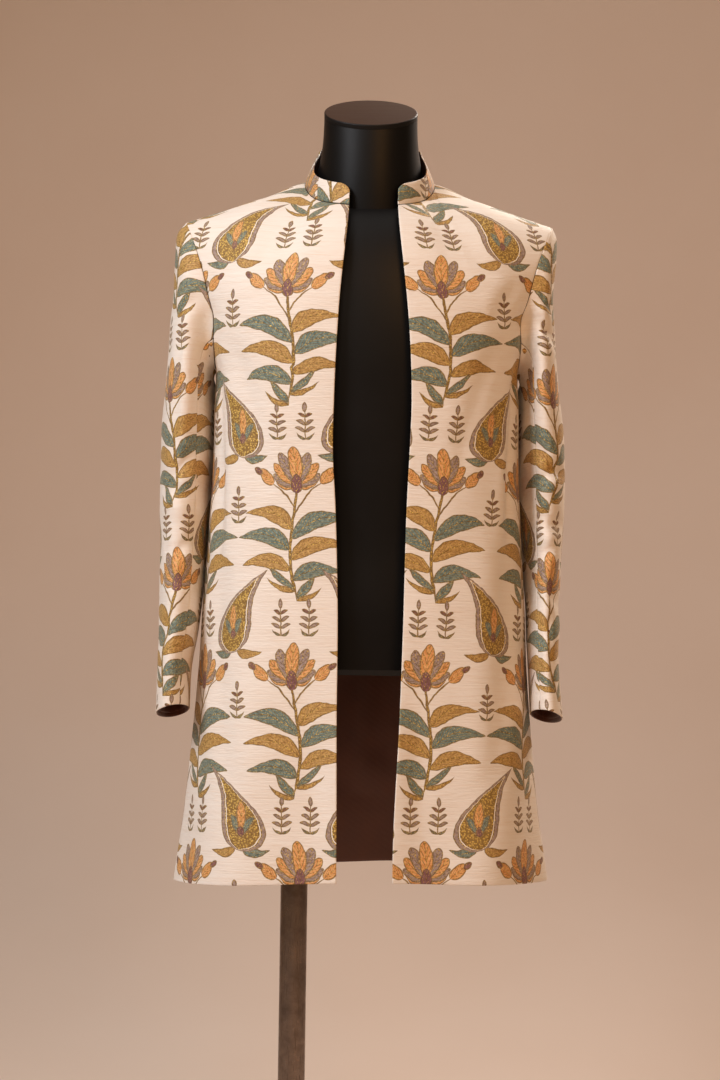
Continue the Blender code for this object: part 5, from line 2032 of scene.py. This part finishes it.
        # The mask sets only how strong the knots' relief is, so the print is worked out once.
        weft = add("Bump", {"Strength": 0.7, "Distance": 0.0008, "Height": relief})
        raised = add("Math MULTIPLY", (gold, 0.8))
        normal = add(
            "Bump", {"Strength": raised, "Distance": 0.0005, "Height": bead, "Normal": weft}
        )
        return {
            "Base Color": colour, "Metallic": metal, "Roughness": rough, "Normal": normal,
            "Sheen Weight": 0.22, "Sheen Roughness": 0.45, "Sheen Tint": "#FFF1E0",
            "Specular IOR Level": 0.38,
        }


@dataclass(frozen=True)
class RustBrownLiningTwill(Finish):
    """Rust-brown viscose twill, woven and pressed: smooth, with a soft satin gleam."""

    dark: str = "#4A2415"
    light: str = "#6B3A24"
    twill: float = 900.0  # wales a metre, drawn twice as coarse as real so that they show

    def surface(self, write: NodeWriter) -> dict[str, Any]:
        """The lining: slanted wales that show as a fine gleam, and slow changes of shade.

        Args:
            write: Writes the nodes.

        Returns:
            The sockets' values by name.
        """
        cut = write.add("UVMap", uv_map="cut")
        slow = write.add("TexNoise", (cut, 22.0, 3.0))
        place = write.add("Mapping", (cut, None, (0.0, 0.0, math.radians(52))))
        wales = write.add(
            "TexWave", {"Vector": place, "Scale": self.twill / 20, "Distortion": 0.6}
        )
        return {
            "Base Color": write.add("Mix RGBA", (slow, self.dark, self.light)),
            "Roughness": write.add("MapRange", (slow, 0.3, 0.7, 0.38, 0.52)),
            "Normal": write.add("Bump", {"Strength": 0.25, "Distance": 0.0002, "Height": wales}),
            "Sheen Weight": 0.15, "Sheen Roughness": 0.4,
        }


@dataclass(frozen=True)
class SatinBlackFormSkin(Finish):
    """Glass fibre sprayed with satin black: a broad soft gleam, a faint orange peel and dust."""

    black: str = "#070606"
    worn: str = "#0D0B0B"

    def surface(self, write: NodeWriter) -> dict[str, Any]:
        """The form's skin: slow clouds of dust and the spray's fine peel.

        Args:
            write: Writes the nodes.

        Returns:
            The sockets' values by name.
        """
        place = write.add("TexCoord", out="Object")
        dust = write.add("TexNoise", (place, 9.0, 5.0, 0.6))
        peel = write.add("TexNoise", (place, 420.0, 2.0))
        return {
            "Base Color": write.add("Mix RGBA", (dust, self.black, self.worn)),
            "Roughness": write.add("MapRange", (dust, 0.3, 0.7, 0.38, 0.48)),
            "Normal": write.add("Bump", {"Strength": 0.12, "Distance": 0.0002, "Height": peel}),
            "Specular IOR Level": 0.22,
        }


@dataclass(frozen=True)
class DarkLacqueredNeckLid(Finish):
    """The neck's lid under matt lacquer: dark brown stained wood on top, black where it turns down.
    The top's brown is partly a painted warm reflection, shown only where the lid faces up.
    """

    # The top's two browns: its grain, and in part a painted warm reflection.
    dark: str = "#33221A"
    light: str = "#4A3326"
    edge: str = "#0A0808"

    def surface(self, write: NodeWriter) -> dict[str, Any]:
        """The lid: close grain along X as a slow change of shade, brown where it faces up and black
        where it turns down; the brown top is partly a painted reflection.

        Args:
            write: Writes the nodes.

        Returns:
            The sockets' values by name.
        """
        place = write.add("TexCoord", out="Object")
        along = write.add("Mapping", (place, None, None, (18.0, 260.0, 260.0)))
        grain = write.add("TexNoise", (along, 1.0, 4.0))
        colour = write.add("Mix RGBA", (grain, self.dark, self.light))
        # Painted reflection: brown only where the lid faces up, black where it turns down.
        facing = write.add("NewGeometry", out="Normal")
        facing = write.add("SeparateXYZ", (facing,), "Z")
        top = write.add("MapRange", (facing, 0.60, 0.82))
        return {
            "Base Color": write.add("Mix RGBA", (top, self.edge, colour)),
            "Roughness": write.add("MapRange", (grain, 0.3, 0.7, 0.46, 0.56)),
            "Normal": write.add("Bump", {"Strength": 0.15, "Distance": 0.0002, "Height": grain}),
            "Specular IOR Level": 0.3,
        }


@dataclass(frozen=True)
class BrushedStainlessSteel(Finish):
    """Stainless steel, brushed along the pole and handled: streaks, scuffs and finger marks. Its
    warm brown tint is a painted reflection of the warm surroundings.
    """

    # Both tinted warm brown as a painted reflection; the darker one is where the steel is scuffed.
    steel: str = "#8A7C72"
    scuffed: str = "#6A5D54"

    def surface(self, write: NodeWriter) -> dict[str, Any]:
        """The steel: fine upright streaks, and clouded places where it is scuffed.

        Args:
            write: Writes the nodes.

        Returns:
            The sockets' values by name.
        """
        place = write.add("TexCoord", out="Object")
        along = write.add("Mapping", (place, None, None, (1400.0, 1400.0, 24.0)))
        streaks = write.add("TexNoise", (along, 1.0, 3.0))
        clouds = write.add("TexNoise", (place, 26.0, 5.0, 0.7))
        slanted = write.add("Mapping", (place, None, (0.5, 0.3, 0.0), (700.0, 700.0, 40.0)))
        scratches = write.add("TexNoise", (slanted, 1.0, 1.0))
        marks = write.add("MapRange", (scratches, 0.63, 0.68))
        worn = write.add("MapRange", (clouds, 0.42, 0.68))
        worn = write.add("Math MAXIMUM", (worn, marks))
        rough = write.add("Math MULTIPLY_ADD", (streaks, 0.22, 0.16))
        height = write.add("Math MULTIPLY_ADD", (marks, -0.7, streaks))
        return {
            "Base Color": write.add("Mix RGBA", (worn, self.steel, self.scuffed)),
            "Metallic": 1.0,
            "Roughness": write.add("Math MULTIPLY_ADD", (worn, 0.16, rough)),
            "Normal": write.add("Bump", {"Strength": 0.18, "Distance": 0.0002, "Height": height}),
        }


@dataclass(frozen=True)
class PalePaintedSweep(Finish):
    """The studio's floor and wall in one sweep: pale painted board, matte and faintly cloudy."""

    pale: str = "#E9D8CB"
    shade: str = "#DFCABA"

    def surface(self, write: NodeWriter) -> dict[str, Any]:
        """The board's cloudiness.

        Args:
            write: Writes the nodes.

        Returns:
            The sockets' values by name.
        """
        place = write.add("TexCoord", out="Object")
        cloud = write.add("TexNoise", (place, 1.6, 4.0))
        return {
            "Base Color": write.add("Mix RGBA", (cloud, self.pale, self.shade)), "Roughness": 0.95
        }

    def shader(self, write: NodeWriter) -> Any:
        """The board, unseen from behind, so that it never stands before a camera.

        Args:
            write: Writes the nodes.

        Returns:
            The shader.
        """
        board = super().shader(write)
        clear = write.add("BsdfTransparent")
        behind = write.add("NewGeometry", out="Backfacing")
        return write.add("MixShader", (behind, board, clear))


# The studio --------------------


@dataclass(frozen=True)
class SoftBox:
    """One area light, aimed at a point."""

    name: str
    place: Vector3
    size: tuple[float, float]
    watts: float
    shade: str
    aim: Vector3 = (0.0, 0.0, 1.05)
    spread: float = 180.0  # degrees

    def build(self) -> None:
        """Hangs the light."""
        lamp = bpy.data.lights.new(self.name, "AREA")
        lamp.shape = "RECTANGLE"
        lamp.size, lamp.size_y = self.size
        lamp.energy = self.watts
        lamp.color = linear(self.shade)[:3]
        lamp.spread = math.radians(self.spread)
        light = bpy.data.objects.new(self.name, lamp)
        way = np.subtract(self.aim, self.place)
        across = unit(np.cross(way, UP))
        axes = np.stack([across, np.cross(across, unit(way)), -unit(way), self.place], axis=1)
        light.matrix_world = Matrix([*axes.tolist(), [0.0, 0.0, 0.0, 1.0]])
        bpy.context.scene.collection.objects.link(light)


@dataclass
class Studio:
    """The camera, the lights and the sweep."""

    camera_place: Vector3 = (-0.006, -2.8, 1.02)
    roll: float = 0.85  # degrees, counter-clockwise as seen from behind the camera
    lens: float = 71.8  # in mm, as is the frame's longer side
    frame_side: float = 36.0
    ambient: float = 0.18
    ambient_shade: str = "#FFDAB4"
    seen_strength: float = 0.75  # beyond the sweep the eye meets the same pale shade
    seen_shade: str = "#E6D3C5"
    sweep_half_width: float = 4.5
    sweep_front: float = -5.0
    sweep_back: float = 2.6
    sweep_round: float = 1.6
    sweep_top: float = 4.5
    lights: tuple[SoftBox, ...] = (
        SoftBox("key_left", (-2.3, -2.1, 3.0), (1.3, 1.6), 22, "#F8FAFF", (0.0, 0.0, 1.10), 84.0),
        SoftBox("warm_right", (1.2, -2.9, 2.7), (1.0, 1.2), 30, "#FFB868"),
        SoftBox("front_fill", (-0.6, -4.0, 2.2), (2.4, 2.0), 9, "#FFF6EA"),
        SoftBox("top", (0.0, -0.4, 3.6), (2.6, 2.6), 14, "#FFFDFA"),
        SoftBox("behind", (1.3, 2.0, 2.9), (1.2, 1.0), 16, "#FFF4E8", spread=90.0),
    )

    def build(self, sweep_finish: Material) -> None:
        """Makes the camera, the lights and the sweep.

        Args:
            sweep_finish: The board's finish.
        """
        camera = bpy.data.objects.new("camera", bpy.data.cameras.new("camera"))
        camera.data.lens = self.lens
        camera.data.sensor_width = self.frame_side
        camera.data.clip_start = 0.05
        turn = Matrix.Rotation(math.radians(90), 4, "X")
        turn = turn @ Matrix.Rotation(math.radians(self.roll), 4, "Z")
        camera.matrix_world = Matrix.Translation(self.camera_place) @ turn
        bpy.context.scene.collection.objects.link(camera)
        bpy.context.scene.camera = camera
        for light in self.lights:
            light.build()
        world = bpy.data.worlds.new("studio")
        world.use_nodes = True
        world.node_tree.nodes.clear()
        write = NodeWriter(world.node_tree)
        eye = write.add("LightPath", out="Is Camera Ray")
        strength = write.add("Mix FLOAT", (eye, self.ambient, self.seen_strength))
        shade = write.add("Mix RGBA", (eye, self.ambient_shade, self.seen_shade))
        write.add("OutputWorld", {"Surface": write.add("Background", (shade, strength))})
        bpy.context.scene.world = world
        bpy.context.scene.view_settings.view_transform = "Standard"
        arc = np.linspace(0, math.pi / 2, 25)
        back = self.sweep_back - self.sweep_round
        y = np.concatenate(
            [[self.sweep_front], back + self.sweep_round * np.sin(arc), [self.sweep_back]]
        )
        z = np.concatenate([[0.0], self.sweep_round * (1 - np.cos(arc)), [self.sweep_top]])
        x = np.linspace(-self.sweep_half_width, self.sweep_half_width, 9)
        grid = np.stack(np.broadcast_arrays(x[None], y[:, None], z[:, None]), axis=-1)
        mesh = bpy.data.meshes.new("sweep")
        faces = grid_faces(*grid.shape[:2]).tolist()
        mesh.from_pydata(grid.reshape(-1, 3).tolist(), [], faces)
        link(mesh, sweep_finish)


def main() -> None:
    """Builds the coat, the form, the stand and the studio, and logs the pieces' sizes."""
    logging.basicConfig(level=logging.INFO, format="%(message)s")
    cloth = SlubbedSilkPrintedAndEmbroidered().material(), RustBrownLiningTwill().material()
    body = CoatBody()
    body.build(cloth)
    for side in Side:
        Sleeve(side, body).build(cloth)
    StandCollar(body).build(cloth)
    DressForm().build(SatinBlackFormSkin().material(), DarkLacqueredNeckLid().material())
    Stand().build(BrushedStainlessSteel().material())
    Studio().build(PalePaintedSweep().material())


if __name__ == "__main__":
    main()
